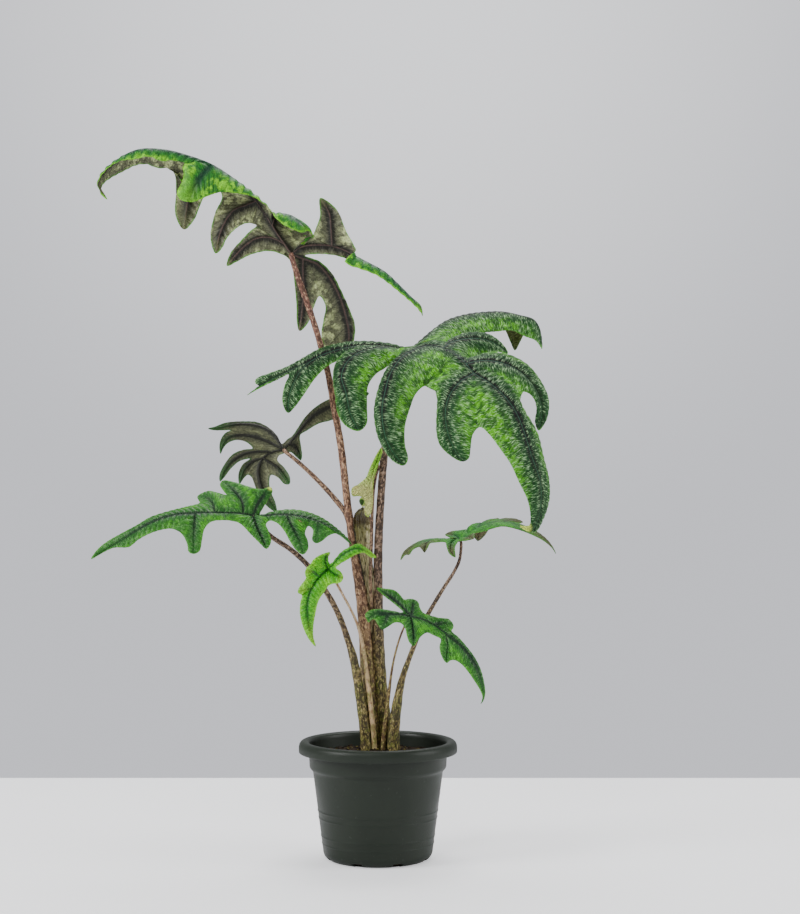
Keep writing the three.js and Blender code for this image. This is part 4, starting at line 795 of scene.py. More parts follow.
# %% Top leaf
VEIN_TOP_MM = 11
top_finish = leaf_material(
    "waxy_leaf_bright_green_grey_brown_below",
    "#0b3f26 #083c22 #16681a #7ccc0e #7cc81c #7ccc14 #7fc85a",
    "#4c3c37 #201f19 #5c5e47 #b8c288 #747c4e #4c9028 #a9a98c",
    VEIN_TOP_MM, bands=(0.7, 6.0, 7.0, 17.0), hair=0.2, roughness=0.5, dapple=0.95, tip=(0.85, 1.0, 0.5))

add_blade("blade_top", top_finish, VEIN_TOP_MM, puff_mm=0.9, side=1, step=17, lobes=[
    dict(name="tip", notch=7,
        rib=[(290.7, 254, -3), (278, 235, 4), (265, 214, 9), (256, 201, 9), (246, 188, 4), (231, 176, -4),
            (212, 164, -10), (188, 155, -14), (166, 149.5, -16), (137, 149.5, -18), (112, 163.5, -20),
            (98.5, 181, -22), (107, 199.5, -24)],
        edge=[(100.5, 193, -20), (103.5, 184, -12), (111, 178, -7), (124.7, 170.7, -1), (135.6, 165.5, 3),
            (147, 164.3, 7), (157, 168, 9), (168, 168.5, 11), (174.5, 174, 12), (176, 191, 12),
            (175.5, 215, 8)]),
    dict(name="far_fore", notch=3,
        rib=[(203, 160.5, -12), (197, 170, 2), (190, 186, 9), (187, 206, 9), (184, 229.5, 4)],
        edge=[(194, 220, 6), (199.5, 207, 10), (204, 197, 13), (214, 185, 14), (222, 196, 14),
            (215, 213, 11), (210.5, 234, 4), (212.5, 248, -3)]),
    dict(name="far_mid", notch=4,
        rib=[(256, 201, 9), (246, 205, 10), (234, 210, 8), (225, 222, 4), (219, 237, -2), (216, 253.5, -8)],
        edge=[(222, 248, -7), (227, 238, -4), (238, 227, 0), (248, 223, 3), (256.5, 225.5, 5),
            (250, 231, 3), (240.5, 241, -2), (230.5, 253, -9)]),
    dict(name="far_back", notch=4,
        rib=[(283, 243, 1), (272, 238, 2), (258, 238, 0), (246, 245, -5), (236, 255, -11), (227, 266, -16)],
        edge=[(237, 261.5, -14), (251, 254.5, -9), (269, 251, -4), (283, 254.8, -1), (289.5, 259.5, 1),
            (292.5, 268, 6), (294.5, 283, 11), (296.5, 305, 16), (297, 322, 17)]),
    dict(name="heel_small", on="heel_long", notch=2,
        rib=[(303, 259, 5), (303, 272, 10), (304, 290, 15), (302, 312, 18), (299.5, 331, 18)],
        edge=[(308, 323, 19), (313.5, 308, 20), (319.5, 296, 19), (325.5, 306, 20), (323.5, 320, 22),
            (321.5, 335, 24), (325, 347, 24)]),
    dict(name="heel_long", notch=6,
        rib=[(290.7, 254, -3), (303, 259, 5), (318, 265, 12), (331, 280, 17), (340, 298, 20),
            (346, 317, 23), (349, 336, 25), (346, 356, 25)],
        edge=[(353.5, 342, 28), (355, 325, 28), (349.5, 309, 25), (342, 292, 22), (332.5, 274, 18),
            (320, 261.5, 14), (305, 255.5, 6), (322, 254, 6), (338, 256, 5), (352, 261, 7), (368, 268, 8),
            (385, 278, 6), (400, 291, 2), (415, 305, -4)]),
    dict(name="side_long", notch=8,
        rib=[(290.7, 254, -3), (301, 247, 4), (316, 245, 8), (332, 246, 10), (345, 250.5, 9),
            (357, 256.5, 4), (368, 262, 0), (385, 271.5, -3), (397, 282.5, -5), (411, 296.5, -7),
            (421, 306, -9), (423, 316, -11)],
        edge=[(417, 308, -14), (399, 292, -13), (378, 276, -13), (362, 269.5, -13), (350, 265.5, -12),
            (344.5, 261.5, -10), (349, 256, -9), (355.5, 250.5, -4), (353.5, 244.5, 4), (346, 231, 8),
            (338, 211.5, 9), (328, 201.5, 9)]),
    dict(name="side_up", on="side_long", notch=2,
        rib=[(332, 246, 10), (331, 230, 12), (329, 213, 12), (320, 198, 8)],
        edge=[(320, 216, 10), (316, 228, 9), (312.5, 237, 7), (313.5, 236.5, 2)]),
    dict(name="curl", notch=4,
        rib=[(272, 225, 6), (276, 216, 10), (285, 213.5, 8), (294, 218, 3), (301, 223.5, 0),
            (308, 230.5, -2)],
        edge=[(303, 232.5, -6.5), (292, 229, -9), (282, 223.5, -8), (275, 217, -6), (268.5, 207.5, 0),
            (260, 201, -5), (251, 196, -10), (238, 193.5, -15), (222, 192, -19), (208, 196, -22),
            (196, 201, -24)]),
    dict(name="near_fore", notch=5,
        rib=[(212, 164, -10), (205, 172, -17), (197, 183, -23), (189, 202, -25)],
        edge=[(179, 198.5, -24), (177, 192, -24), (182, 182, -22), (184, 173, -20), (182.5, 168, -19),
            (185, 163.5, -19), (172, 160.5, -23), (161, 161, -25), (149, 156.5, -27), (133, 159.5, -28),
            (122, 160.5, -29), (110, 166.5, -29), (101, 176, -28), (97.5, 186, -26)]),
])

# %% [markdown]
# ## The velvet leaf
#
# The largest blade faces the camera. Its upper face is velvety: short pale hairs stand square to the
# ribs and catch the light. The ribs lie in nearly black green bands. These are partly the leaf's own
# dark green and partly painted shade: the bands are drawn wide enough to hold the shade in the folds
# along the ribs too. The tissue turns yellow-green towards the notches. A little sheen on the shader
# gives the soft glow of a hairy surface.

# %% Velvet leaf
VEIN_VELVET_MM = 8
# The velvet leaf's dark rib band, 4.9 mm wide, is partly painted shade of the folds along its ribs.
velvet_finish = leaf_material(
    "velvety_leaf_dark_green",
    "#2a5440 #010703 #0d3a16 #5aac0a #184e1a #54a41e #a6cc96",
    "#3a3a24 #2c3019 #4c5c26 #78863c #6c7a3a #3f7a2c #8f9a6a",
    VEIN_VELVET_MM, bands=(0.45, 4.9, 6.5, 28.0), hair=0.6, roughness=0.68, dapple=0.75, sheen=0.05,
    tip=(0.55, 0.95, 0.45))

add_blade("blade_velvet", velvet_finish, VEIN_VELVET_MM, puff_mm=0.55,
          drip=((524.5, 527.5, -87), 5), side=1, step=19, lobes=[
    dict(name="tip", notch=7,
        rib=[(408, 351, 8), (425, 346, -8), (442.7, 348, -24), (461, 358.5, -44), (474, 373, -58),
            (491, 384, -70), (506, 398, -80), (518, 416, -88), (532, 457, -96), (540, 481, -97),
            (541, 501, -94), (538, 519, -88), (533, 529, -85), (520, 526, -88)],
        edge=[(529, 525.5, -90), (530.5, 517, -95), (527.5, 500, -101), (519, 482, -104),
            (510.6, 464, -104), (501, 450, -102), (488, 433, -98), (480, 427, -94), (473, 434, -91),
            (470.6, 448, -89), (469, 458, -86)]),
    dict(name="fore_left", notch=6,
        rib=[(474, 373, -58), (460, 382, -68), (450, 394.5, -75), (445.5, 410, -79), (447.5, 431, -82),
            (454, 448, -82), (462, 461.5, -79)],
        edge=[(449, 454.5, -74), (440, 445, -68), (436.6, 433, -63), (436.6, 416, -59), (437, 398, -57),
            (434, 389, -56), (425, 386, -54), (416, 393.5, -56), (410, 408, -60), (405, 426, -63),
            (405, 445, -64), (408, 459, -64)]),
    dict(name="side_left", notch=7,
        rib=[(425, 346, -8), (412, 350.5, -24), (401, 358, -42), (390, 374, -55), (384.5, 394, -63),
            (382, 409, -66), (384.5, 433, -68), (391, 449, -67), (404, 465.5, -63)],
        edge=[(393, 461, -60), (383, 448, -55), (377, 434, -51), (374, 413, -48), (376, 397, -46),
            (382, 378, -42), (389, 365.5, -35), (398, 357, -23), (386, 367.5, -28), (376, 374, -37),
            (368, 386, -45), (367, 406, -50), (366.5, 424, -51)]),
    dict(name="heel_near", on="heel_left", notch=6,
        rib=[(392, 347, 3), (378, 348, -12), (360, 352, -26), (347, 362, -37), (341.5, 376, -44),
            (346, 393, -49), (350.5, 414, -52), (359, 431, -53)],
        edge=[(346, 426, -47), (338, 414, -42), (335, 395, -36), (333, 380, -31), (334.5, 366, -26),
            (342, 354.5, -18), (357, 348.5, -9), (347, 356, -12), (335, 362, -15), (327, 366.5, -17),
            (315, 378.5, -20), (304, 394.5, -22), (294, 408, -22)]),
    dict(name="heel_left", notch=2,
        rib=[(408, 351, 8), (392, 347, 5), (365, 345.5, 2), (340, 349, -4), (320, 356, -9),
            (304, 367, -13), (295, 380, -16), (289, 397, -19), (288, 413, -21)],
        edge=[(282.5, 402, -17), (284.5, 386, -12), (289, 374.5, -8), (278, 379.5, -9), (263, 386.5, -9)]),
    dict(name="heel_far", on="heel_left", notch=12,
        rib=[(312, 361, -11), (298, 367, -7), (283, 374, -5), (268, 381.5, -6), (247, 395, -9)],
        edge=[(256, 389, -6), (262.5, 384.5, -4), (255.5, 383.5, -3), (256, 379, -1), (270, 373, 1),
            (286, 367, 3), (300, 359.5, 4), (320, 348.5, 6), (338, 343.5, 9), (355, 341.2, 12),
            (378, 342, 15), (398, 346, 16), (410, 351, 14), (418, 344.5, 24), (430, 334, 38),
            (448, 323, 52), (470, 319, 63), (488, 320, 69), (503, 327, 72), (510, 341, 71)]),
    dict(name="heel_right_sub", on="heel_right", notch=1,
        rib=[(503, 312, 50), (508, 322, 62), (513, 336, 69), (515, 350.5, 70)],
        edge=[(520, 342, 67), (526, 332, 64), (534, 332, 60), (540, 340, 56)]),
    dict(name="heel_right", notch=6,
        rib=[(408, 351, 8), (414, 346, 16), (421, 340.5, 25), (431, 331.5, 33), (447, 320.5, 40),
            (466, 314.5, 45), (485, 312, 48), (503, 311.5, 50), (520, 315, 51), (534, 319.5, 51),
            (540, 329, 50), (542, 349, 48)],
        edge=[(536, 341, 43), (524, 336, 38), (512, 330.5, 33), (497, 331.5, 28), (480, 333, 22),
            (462, 337, 14), (447, 341.5, 0), (462, 333.5, 8), (477, 331.7, 14), (491, 335, 16),
            (503, 344.5, 16)]),
    dict(name="side_right", notch=3,
        rib=[(442.7, 348, -24), (452, 342, -12), (468, 338.5, -3), (484, 339.5, 4), (498, 345.5, 10),
            (508, 353.5, 14)],
        edge=[(498, 352, 6), (487, 354, -1), (477, 357, -10), (470, 360, -26), (480, 355, -24),
            (491, 352.7, -20), (509, 354.7, -20), (527.5, 364.5, -24), (540, 379.5, -29), (548, 396, -34),
            (549, 408, -38), (546, 421, -45)]),
    dict(name="fore_right", notch=4,
        rib=[(466, 363.5, -50), (482, 360.5, -45), (500, 362.5, -42), (518, 370.5, -42), (531, 383, -44),
            (539, 397, -46), (541.5, 413, -48), (538.5, 430.5, -51)],
        edge=[(535, 422, -54), (536.5, 409, -55), (534.5, 400, -56), (529, 393.5, -58), (523, 392, -60),
            (520, 399, -64), (526, 413, -66), (533, 424, -66), (538.5, 436, -65), (543.5, 459, -64),
            (548, 479, -65), (548.5, 500, -68), (543, 519, -74), (536, 531.5, -80), (528, 531.5, -84)]),
])

# %% [markdown]
# ## The rear leaf
#
# A smaller leaf at the back left also turns its underside to the viewer. It is the dullest of all,
# brown-grey with dark ribs, and goes green towards the lobes' ends.

# %% Rear leaf
VEIN_REAR_MM = 7
rear_finish = leaf_material(
    "dull_leaf_grey_brown_below",
    "#173f22 #12361c #245a22 #3a8226 #3f8a34 #4b8a3a #7fae70",
    "#23231d #262820 #4c4e3a #767a58 #2c6022 #2f5f2c #87876a",
    VEIN_REAR_MM, bands=(0.9, 3.0, 4.0, 12.0), hair=0.2, roughness=0.55, dapple=0.7)

add_blade("blade_rear", rear_finish, VEIN_REAR_MM, puff_mm=0.4, side=-1, step=14, lobes=[
    dict(name="tip", notch=4,
        rib=[(283.5, 449.5, 42), (272, 452, 47), (263, 458, 47), (258.5, 469, 44), (260, 483, 39),
            (266, 497, 34), (276.5, 512, 28)],
        edge=[(268, 507, 30), (259, 496, 35), (254, 483, 40), (251.5, 477, 43), (248, 474.8, 43),
            (244, 478, 41)]),
    dict(name="left_1", notch=2,
        rib=[(263, 458, 47), (252, 462, 47), (244, 470, 43), (239.5, 484, 37)],
        edge=[(238.5, 474, 40), (243, 464, 45), (250, 458.8, 48), (240, 461, 46), (231, 468.5, 42),
            (224.5, 477, 37)]),
    dict(name="left_2", notch=4,
        rib=[(272, 452, 47), (258, 451.5, 49), (245, 453.5, 48), (232, 461, 44), (224.5, 470, 40),
            (220, 481.5, 34)],
        edge=[(219.5, 475, 38), (224, 465, 43), (233, 454, 48), (244, 449.5, 51), (252.5, 448.3, 51),
            (247, 442.5, 50), (237, 440, 47), (228, 443, 43), (223.5, 448, 40)]),
    dict(name="left_3", notch=3,
        rib=[(283.5, 449.5, 42), (270, 442.5, 48), (255, 437, 50), (240, 434.5, 48), (228, 437.5, 44),
            (222.5, 445, 40), (220.5, 454, 36)],
        edge=[(219.5, 445, 39), (222, 437, 43), (226, 432.5, 46), (230.5, 430.3, 48), (222, 430.3, 45),
            (214, 430.2, 41)]),
    dict(name="left_4", notch=6,
        rib=[(283.5, 449.5, 42), (275, 436, 51), (265, 428.5, 54), (251, 424.5, 54), (235, 424.5, 51),
            (221, 427, 46), (208, 428.5, 40)],
        edge=[(215, 426.5, 44), (226, 422.5, 50), (245, 421.2, 56), (258, 422.3, 58), (270, 428.5, 57),
            (278, 437, 52), (281.8, 444, 48), (287, 439.5, 47), (292, 436, 46), (297, 429, 46),
            (304, 418.5, 47), (313, 409, 49), (325, 401, 51), (338, 396, 52), (354, 392, 53)]),
    dict(name="heel_long", notch=4,
        rib=[(283.5, 449.5, 42), (289, 444, 44), (297, 434, 44), (306, 423, 46), (317, 413, 49),
            (332, 406, 52), (351, 399, 54), (369, 393, 55)],
        edge=[(352, 407, 52), (333, 419.5, 48), (319, 423.5, 46), (307, 430.5, 44), (300, 435.5, 45),
            (300.8, 445, 47), (302, 455, 46)]),
    dict(name="heel_small", on="heel_long", notch=2,
        rib=[(289, 444, 44), (295, 446, 48), (298.5, 453, 48), (301, 460.5, 46)],
        edge=[(297, 457.5, 47), (290.5, 452, 46), (283.5, 453.5, 43), (279, 455.5, 44), (277.3, 460, 44),
            (284.5, 468, 41), (289.8, 477, 36)]),
    dict(name="right_1", notch=2,
        rib=[(263, 458, 47), (269, 461.5, 46), (277, 467, 43), (284, 476, 38), (289.5, 484, 34)],
        edge=[(284.5, 484, 35), (278, 477.5, 39), (271, 475, 42), (269.3, 483, 40), (271, 492, 35),
            (275.5, 503, 31)]),
])

# %% [markdown]
# ## Three green leaves
#
# The long leaf at the lower left and the small one in front of the stalks share one finish: mid green
# with grey-green frosting and darker rib bands. The leaf at the right, seen edge on, is smoother, and
# its lobes end in olive brown. All three are olive brown underneath.

# %% Finishes of the green leaves
VEIN_GREEN_MM = 7
green_finish = leaf_material(
    "satin_leaf_mid_green",
    "#0f3018 #0e3016 #205c1a #46981a #2e7220 #4a9624 #90ae78",
    "#4a4430 #3c3826 #5c5a34 #84804a #5d7a3a #3f7430 #8a8a6a",
    VEIN_GREEN_MM, bands=(0.8, 2.8, 4.0, 13.0), hair=0.25, roughness=0.48, dapple=0.7)
olive_finish = leaf_material(
    "satin_leaf_green_olive_tips",
    "#164a20 #1c5626 #2a6a28 #3c8c24 #544e34 #48882c #6c9a64",
    "#4a4430 #3c3826 #56542e #787440 #5a563a #4c6a30 #7a7a5a",
    VEIN_GREEN_MM, bands=(0.5, 1.8, 2.5, 8.0), hair=0.03, roughness=0.62, dapple=0.7, tip=(0.45, 0.85, 0.8))

print("finishes:", green_finish.name, "and", olive_finish.name)

# %% [markdown]
# The lower left leaf is long and held level. Small lobes leave both sides of its midrib, and one that
# points up ends in a pale drip tip.

# %% Lower left leaf
add_blade("blade_left", green_finish, VEIN_GREEN_MM, puff_mm=0.45,
          drip=((270.5, 487.5, -7), 2.4), side=-1, step=15, lobes=[
    dict(name="tip", notch=6,
        rib=[(253, 516, -30), (235, 513.5, -36), (215, 513, -40), (195, 513.5, -44), (175, 515, -48),
            (155, 521, -52), (135, 532, -56), (113, 546, -60), (91, 559, -62)],
        edge=[(103, 552.5, -63), (114, 547.8, -64), (129, 547, -65), (138, 540, -64), (150, 533.5, -63),
            (164, 529.3, -61), (173, 529, -60), (182, 534, -60), (187.5, 545, -61), (188.5, 552, -61)]),
    dict(name="down_1", notch=4,
        rib=[(195, 513.5, -44), (194.5, 525, -52), (193.5, 539, -58), (193.5, 554, -61)],
        edge=[(199.5, 551, -60), (202, 540, -58), (204.5, 529, -55), (211, 522, -50), (224, 520.3, -47),
            (239, 523, -46), (251, 534.5, -50), (260, 543.5, -53)]),
    dict(name="down_2", notch=3,
        rib=[(253, 516, -30), (256, 525, -40), (261, 536, -47), (266.5, 549, -52)],
        edge=[(271, 542, -50), (268.5, 531, -46), (266, 524.5, -42), (269.5, 520.8, -39), (277, 523, -41),
            (284, 530.5, -46), (291, 543, -50), (296.5, 550.5, -52)]),
    dict(name="heel_1", on="heel", notch=3,
        rib=[(287, 515, -36), (290, 522, -41), (296, 533, -46), (301, 545, -50), (303, 554.5, -52)],
        edge=[(308, 549, -50), (307.8, 541, -48), (305, 533, -45), (308.5, 526, -42), (313, 530, -42),
            (312.3, 540, -44)]),
    dict(name="heel_2", on="heel", notch=2,
        rib=[(318, 521.5, -37), (318, 528, -41), (316.5, 536, -43), (316, 543.3, -45)],
        edge=[(322, 541, -43), (328, 536, -40), (335, 533.5, -36), (342, 537, -32)]),
    dict(name="heel", notch=6,
        rib=[(253, 516, -30), (262, 516.5, -31), (275, 515, -33), (287, 515, -36), (300, 516.5, -38),
            (318, 521.5, -37), (333, 529.5, -33), (344, 538, -28), (352, 545, -22)],
        edge=[(348.5, 539.5, -21), (335, 527.5, -19), (320, 517.5, -17), (303, 511.3, -17),
            (288, 510, -17), (272, 512, -19), (259.5, 515.5, -23), (263, 508, -17), (268.5, 499, -11),
            (272.5, 491, -7)]),
    dict(name="up_3", notch=1,
        rib=[(253, 516, -30), (256, 508, -23), (261, 499, -15), (270.5, 487, -7)],
        edge=[(264, 489, -8), (257, 488.8, -11), (247, 486, -9), (235, 482.3, -5)]),
    dict(name="up_2", notch=2,
        rib=[(243, 514.5, -33), (242, 503, -22), (234, 491, -12), (223, 480.5, -4)],
        edge=[(220, 484.5, -6), (223.5, 491, -12), (226.5, 495, -17), (217, 492.5, -14), (208, 491, -12)]),
    dict(name="up_1", notch=1,
        rib=[(215, 513, -40), (213, 504, -28), (207, 498, -20), (197.5, 496.3, -14)],
        edge=[(198.5, 500, -19), (199.5, 503, -25), (185, 507, -31), (166, 512, -37), (150, 517.3, -42),
            (137, 525, -47), (121.5, 533.3, -51), (106, 542.3, -56), (97, 550, -60)]),
])

# %% [markdown]
# The right leaf is seen edge on. Its lobes reach towards the viewer and away, so its shape lies mostly
# in the third number of its landmarks, and that number is a guess.

# %% Right leaf
add_blade("blade_right", olive_finish, VEIN_GREEN_MM, puff_mm=0.12, side=1, step=13, lobes=[
    dict(name="tip", notch=7,
        rib=[(461, 541, 6), (468, 534.5, 2), (478, 528.5, -2), (490, 523.5, -4), (503, 522.5, -4),
            (518, 526, -4), (533, 531, -4), (545, 539, -4), (552, 546.5, -4), (556, 553.5, -4)],
        edge=[(551, 547, -8), (543, 540.5, -12), (530, 534, -16), (517, 529.3, -19), (503, 526.5, -22),
            (493, 528.5, -23), (484, 531.5, -22), (476, 533, -18), (474.5, 536, -28)]),
    dict(name="near_1", notch=2,
        rib=[(461, 541, 6), (464, 538, -8), (468, 537.3, -21), (473.5, 538.7, -35)],
        edge=[(466, 540.8, -34), (461, 541, -28), (458.5, 541.3, -23), (455, 547.5, -30),
            (455.3, 553, -36)]),
    dict(name="near_2", notch=2,
        rib=[(461, 541, 6), (456, 540.5, -8), (451, 543.5, -22), (450.5, 551, -33), (455.5, 557.3, -38)],
        edge=[(449.5, 554, -37), (446.5, 546.5, -31), (445, 542.3, -23), (436, 542.5, -20),
            (430, 543.5, -22), (428, 547.3, -24)]),
    dict(name="heel_near", on="heel", notch=1,
        rib=[(430, 541, -2), (427, 543.5, -11), (425.5, 547.5, -18), (424.5, 552.5, -24)],
        edge=[(421.5, 549, -22), (419, 547, -18), (412.5, 550.3, -16), (409.5, 554.8, -17),
            (405.5, 555, -13)]),
    dict(name="heel", notch=5,
        rib=[(461, 541, 6), (447, 540.3, 3), (430, 541, -2), (418, 544, -5), (408, 550.8, -8),
            (400.5, 560, -9)],
        edge=[(403.5, 552, -3), (412, 545.8, 5), (422, 541.3, 11), (434, 539.5, 14), (444, 539.3, 14),
            (452, 539, 12), (448.5, 537, 22), (445.5, 535.5, 32)]),
    dict(name="far_1", notch=2,
        rib=[(461, 541, 6), (457, 537, 18), (451, 535, 30), (445.5, 534, 40)],
        edge=[(452, 531.5, 43), (460, 530.5, 38), (467, 529.5, 28), (471.5, 533, 38), (475, 538.5, 44)]),
    dict(name="far_2", notch=2,
        rib=[(478, 528.5, -2), (481, 523, 12), (482.5, 524.5, 26), (481, 532, 38), (478, 541, 44)],
        edge=[(484, 536.5, 43), (490, 528, 36), (498, 520.3, 27), (505, 519.6, 32), (513, 519.2, 37)]),
    dict(name="far_3", notch=2,
        rib=[(503, 522.5, -4), (508, 520.8, 10), (515, 520, 24), (523, 521.8, 36)],
        edge=[(520, 523.5, 28), (516, 524, 18), (517.5, 524.3, 12), (528, 527.8, 8), (538, 533, 5),
            (547, 540, 2), (553, 548, -1)]),
])

# %% [markdown]
# The front leaf is small and low. Its tip hangs down to the right, in front of the thin stalks.

# %% Front leaf
add_blade("blade_front", green_finish, VEIN_GREEN_MM, puff_mm=0.4, side=1, step=14, lobes=[
    dict(name="tip", notch=6,
        rib=[(411, 616.5, -44), (427, 621, -50), (440.5, 630.5, -55), (450, 637, -58), (461, 646, -61),
            (470, 657, -63), (476.5, 668, -64), (481.5, 682, -64), (483.6, 694, -63), (480.8, 704, -62)],
        edge=[(482.5, 697, -62), (480.3, 690.5, -63), (474.5, 681, -65), (467.5, 671, -66),
            (461, 663.8, -67), (455, 660.3, -67), (450.5, 660.5, -67)]),
    dict(name="down_1", notch=2,
        rib=[(446, 634.3, -57), (447.5, 645, -62), (447.3, 654, -65), (446.5, 663, -67)],
        edge=[(441, 654.5, -66), (439.5, 646, -64), (441, 639.5, -61), (434, 635.5, -59),
            (427, 632.7, -57), (421.5, 636, -57), (417.5, 641, -57)]),
    dict(name="down_2", notch=3,
        rib=[(411, 616.5, -44), (413, 625, -49), (414, 635, -54), (413.8, 646, -57)],
        edge=[(409.5, 642.5, -56), (407, 636, -54), (405, 628, -51), (400.5, 623, -49),
            (394.5, 622.7, -51), (387.5, 627, -53)]),
    dict(name="heel_sub", on="heel_low", notch=1,
        rib=[(388, 614.5, -49), (385.3, 621, -52), (382, 629.5, -55)],
        edge=[(378.3, 625, -54), (374.5, 619.3, -52), (371.5, 619.8, -53), (368.5, 622.5, -54)]),
    dict(name="heel_low", notch=4,
        rib=[(411, 616.5, -44), (402, 614.8, -46), (388, 614.5, -49), (376, 613.5, -51), (367, 620, -54)],
        edge=[(365, 615, -53), (369, 610.7, -50), (379, 609, -46), (391, 610.5, -43), (403.5, 612.7, -40),
            (393, 603, -32), (383, 595, -24)]),
    dict(name="heel_up", notch=3,
        rib=[(411, 616.5, -44), (402.5, 607, -36), (391, 597.3, -28), (376.5, 588, -20)],
        edge=[(384, 588.5, -22), (394.5, 590.3, -25), (400, 594.8, -27), (404, 599.5, -29),
            (408.5, 599, -28)]),
    dict(name="up_1", notch=2,
        rib=[(411, 616.5, -44), (412.5, 608, -37), (414, 599.3, -29)],
        edge=[(418, 602, -31), (420, 608, -35), (423.5, 613, -40), (431, 615.7, -41), (440, 618, -41),
            (448.5, 619, -41)]),
    dict(name="up_2", notch=1,
        rib=[(434, 625.5, -53), (442, 623.5, -48), (453.3, 624.5, -43)],
        edge=[(453, 628.3, -46), (451.5, 631, -51), (458.5, 637.3, -55), (466.5, 646.3, -57),
            (474.5, 657, -59), (480.5, 669, -60), (484.2, 683, -61), (485.2, 694, -61),
            (483.4, 700.5, -61)]),
])

# %% [markdown]
# ## The lime leaf and the new leaf
#
# The youngest blades have little pigment yet. The lime leaf hangs in the middle, bright lime with
# darker ribs. The new leaf is still unrolling from its papery sheath: lime at its top, and pale yellow
# with brown streaks below. Its smallest lobe is folded in, out of the light, and its shade is painted
# on it as dark green.

# %% Finishes of the young leaves
VEIN_YOUNG_MM = 6

lime_finish = leaf_material(
    "satin_young_leaf_lime",
    "#14500c #1c6a0c #3c9a0e #74c214 #98d42c #7fcc1c #a8dc5c",
    "#2f7a1c #3f8a1c #5aa81c #86c42c #a8dc40 #8cd034 #b8e07c",
    VEIN_YOUNG_MM, bands=(0.8, 2.5, 3.0, 11.0), hair=0.2, roughness=0.42, dapple=0.75)
# The new leaf's line colour, dark green, draws its thin ribs and is also the painted shade on its folded
# lobe.
new_finish = leaf_material(
    "satin_new_leaf_pale_yellow",
    "#2c4c10 #64a41c #6cae1c #80c02c #c4c47c #a4cc44 #7c6a3c",
    "#2c4c10 #64a41c #6cae1c #80c02c #bcba74 #9cc444 #7c6a3c",
    VEIN_YOUNG_MM, bands=(0.5, 1.5, 2.0, 6.0), hair=0.8, roughness=0.45, dapple=0.9, tip=(0.0, 1.0, 0.9))

print("finishes:", lime_finish.name, "and", new_finish.name)

# %% [markdown]
# The lime leaf is small and hangs from a thin stalk, with its tip straight down.

# %% Lime leaf
add_blade("blade_lime", lime_finish, VEIN_YOUNG_MM, puff_mm=0.6, side=1, step=12, lobes=[
    dict(name="tip", notch=4,
        rib=[(328, 569, -43), (323, 573.5, -47), (315.5, 581.5, -52), (310, 592, -57), (307.5, 603, -60),
            (307.5, 617, -62), (310.5, 632, -62), (315.8, 646.5, -60)],
        edge=[(309.5, 640, -60), (303.5, 628, -60), (300, 614, -60), (300.5, 602, -60), (302, 595.5, -60)]),
    dict(name="left_1", notch=2,
        rib=[(311.5, 588.5, -56), (305, 590, -59), (297.8, 592.5, -61)],
        edge=[(299, 588, -59), (303.5, 582, -57), (306, 578, -56), (305.3, 575.5, -58)]),
    dict(name="left_2", notch=1,
        rib=[(319.5, 577, -50), (313, 572, -55), (305, 572, -59)],
        edge=[(306.5, 568, -57), (310.5, 564, -52), (313.5, 559.5, -48), (320.5, 554.8, -43)]),
    dict(name="heel_left", notch=1,
        rib=[(328, 569, -43), (325, 562.5, -42), (325.5, 557, -40), (330.3, 552.3, -36)],
        edge=[(328, 557.8, -37), (330, 564.8, -40), (335, 559.3, -38), (341.5, 551.8, -35),
            (350, 546.8, -32), (358.5, 543.8, -30), (366.5, 548, -28)]),
    dict(name="heel_right", notch=5,
        rib=[(328, 569, -43), (333, 565, -43), (339, 558.3, -42), (347, 552, -40), (357, 548.5, -37),
            (366, 551.5, -33), (376.5, 557.5, -30)],
        edge=[(371, 557.3, -32), (364, 552.8, -35), (356, 554.5, -41), (347, 560, -46), (340, 564, -48),
            (336, 567.8, -49), (341, 572, -51)]),
    dict(name="right_1", notch=2,
        rib=[(328, 569, -43), (333, 573, -48), (338, 576, -51), (343.3, 578, -54)],
        edge=[(340, 582.8, -55), (334, 583.6, -55), (329, 585.3, -55), (325, 591, -57), (318.5, 601, -59),
            (315.5, 613, -60), (313.3, 626, -60), (313.3, 637, -60)]),
])

# %% [markdown]
# The new leaf's colour follows its height and not its lobes. So its reach is worked out again: 0 at
# the top and 1 where it is palest. The folded lobe's numbers say that it is a rib, far from any margin,
# and so it takes the dark colour of the line along a rib. That dark green is painted shade: the lobe
# lies out of the light.

# %% New leaf
LIME_ABOVE_MM, PALE_BELOW_MM = 474, 440
FOLDED_LOBE, FOLDED_LOBE_MM = (361, 502, -13), 3
FAR_FROM_MARGIN_MM = 10
mesh, numbers = blade_mesh("blade_new_leaf", vein_mm=VEIN_YOUNG_MM, puff_mm=0.1, side=1, step=12, lobes=[
    dict(name="tip", notch=2,
        rib=[(376.4, 463, -8), (371.6, 478, -10), (369.5, 490, -11), (368.5, 503, -11), (367.8, 517, -11)],
        edge=[(365.2, 514, -10), (364.6, 509, -10), (364.2, 505.5, -10), (363, 507, -11)]),
    dict(name="small", notch=2,
        rib=[(368.5, 503, -11), (364, 500, -12), (361.5, 506, -13)],
        edge=[(359.3, 502, -13), (359.6, 499, -13), (361.5, 496.8, -12), (357.5, 496, -14),
            (353, 496.3, -15)]),
    dict(name="left", notch=3,
        rib=[(369.5, 490, -11), (362, 488, -13), (356.5, 490, -15), (351.3, 492.5, -16)],
        edge=[(352.3, 487.8, -15), (358, 484.5, -12), (363, 480.5, -10), (366.3, 477, -9),
            (369.8, 468, -8), (373.5, 460, -8), (377.5, 452.5, -9)]),
    dict(name="heel", notch=1,
        rib=[(376.4, 463, -8), (381.2, 447.5, -10)],
        edge=[(382.4, 452, -9), (379.8, 460, -8), (377, 469, -8.5), (374, 479, -9), (373, 490, -9),
            (372.8, 503, -9), (371, 513, -10)]),
])
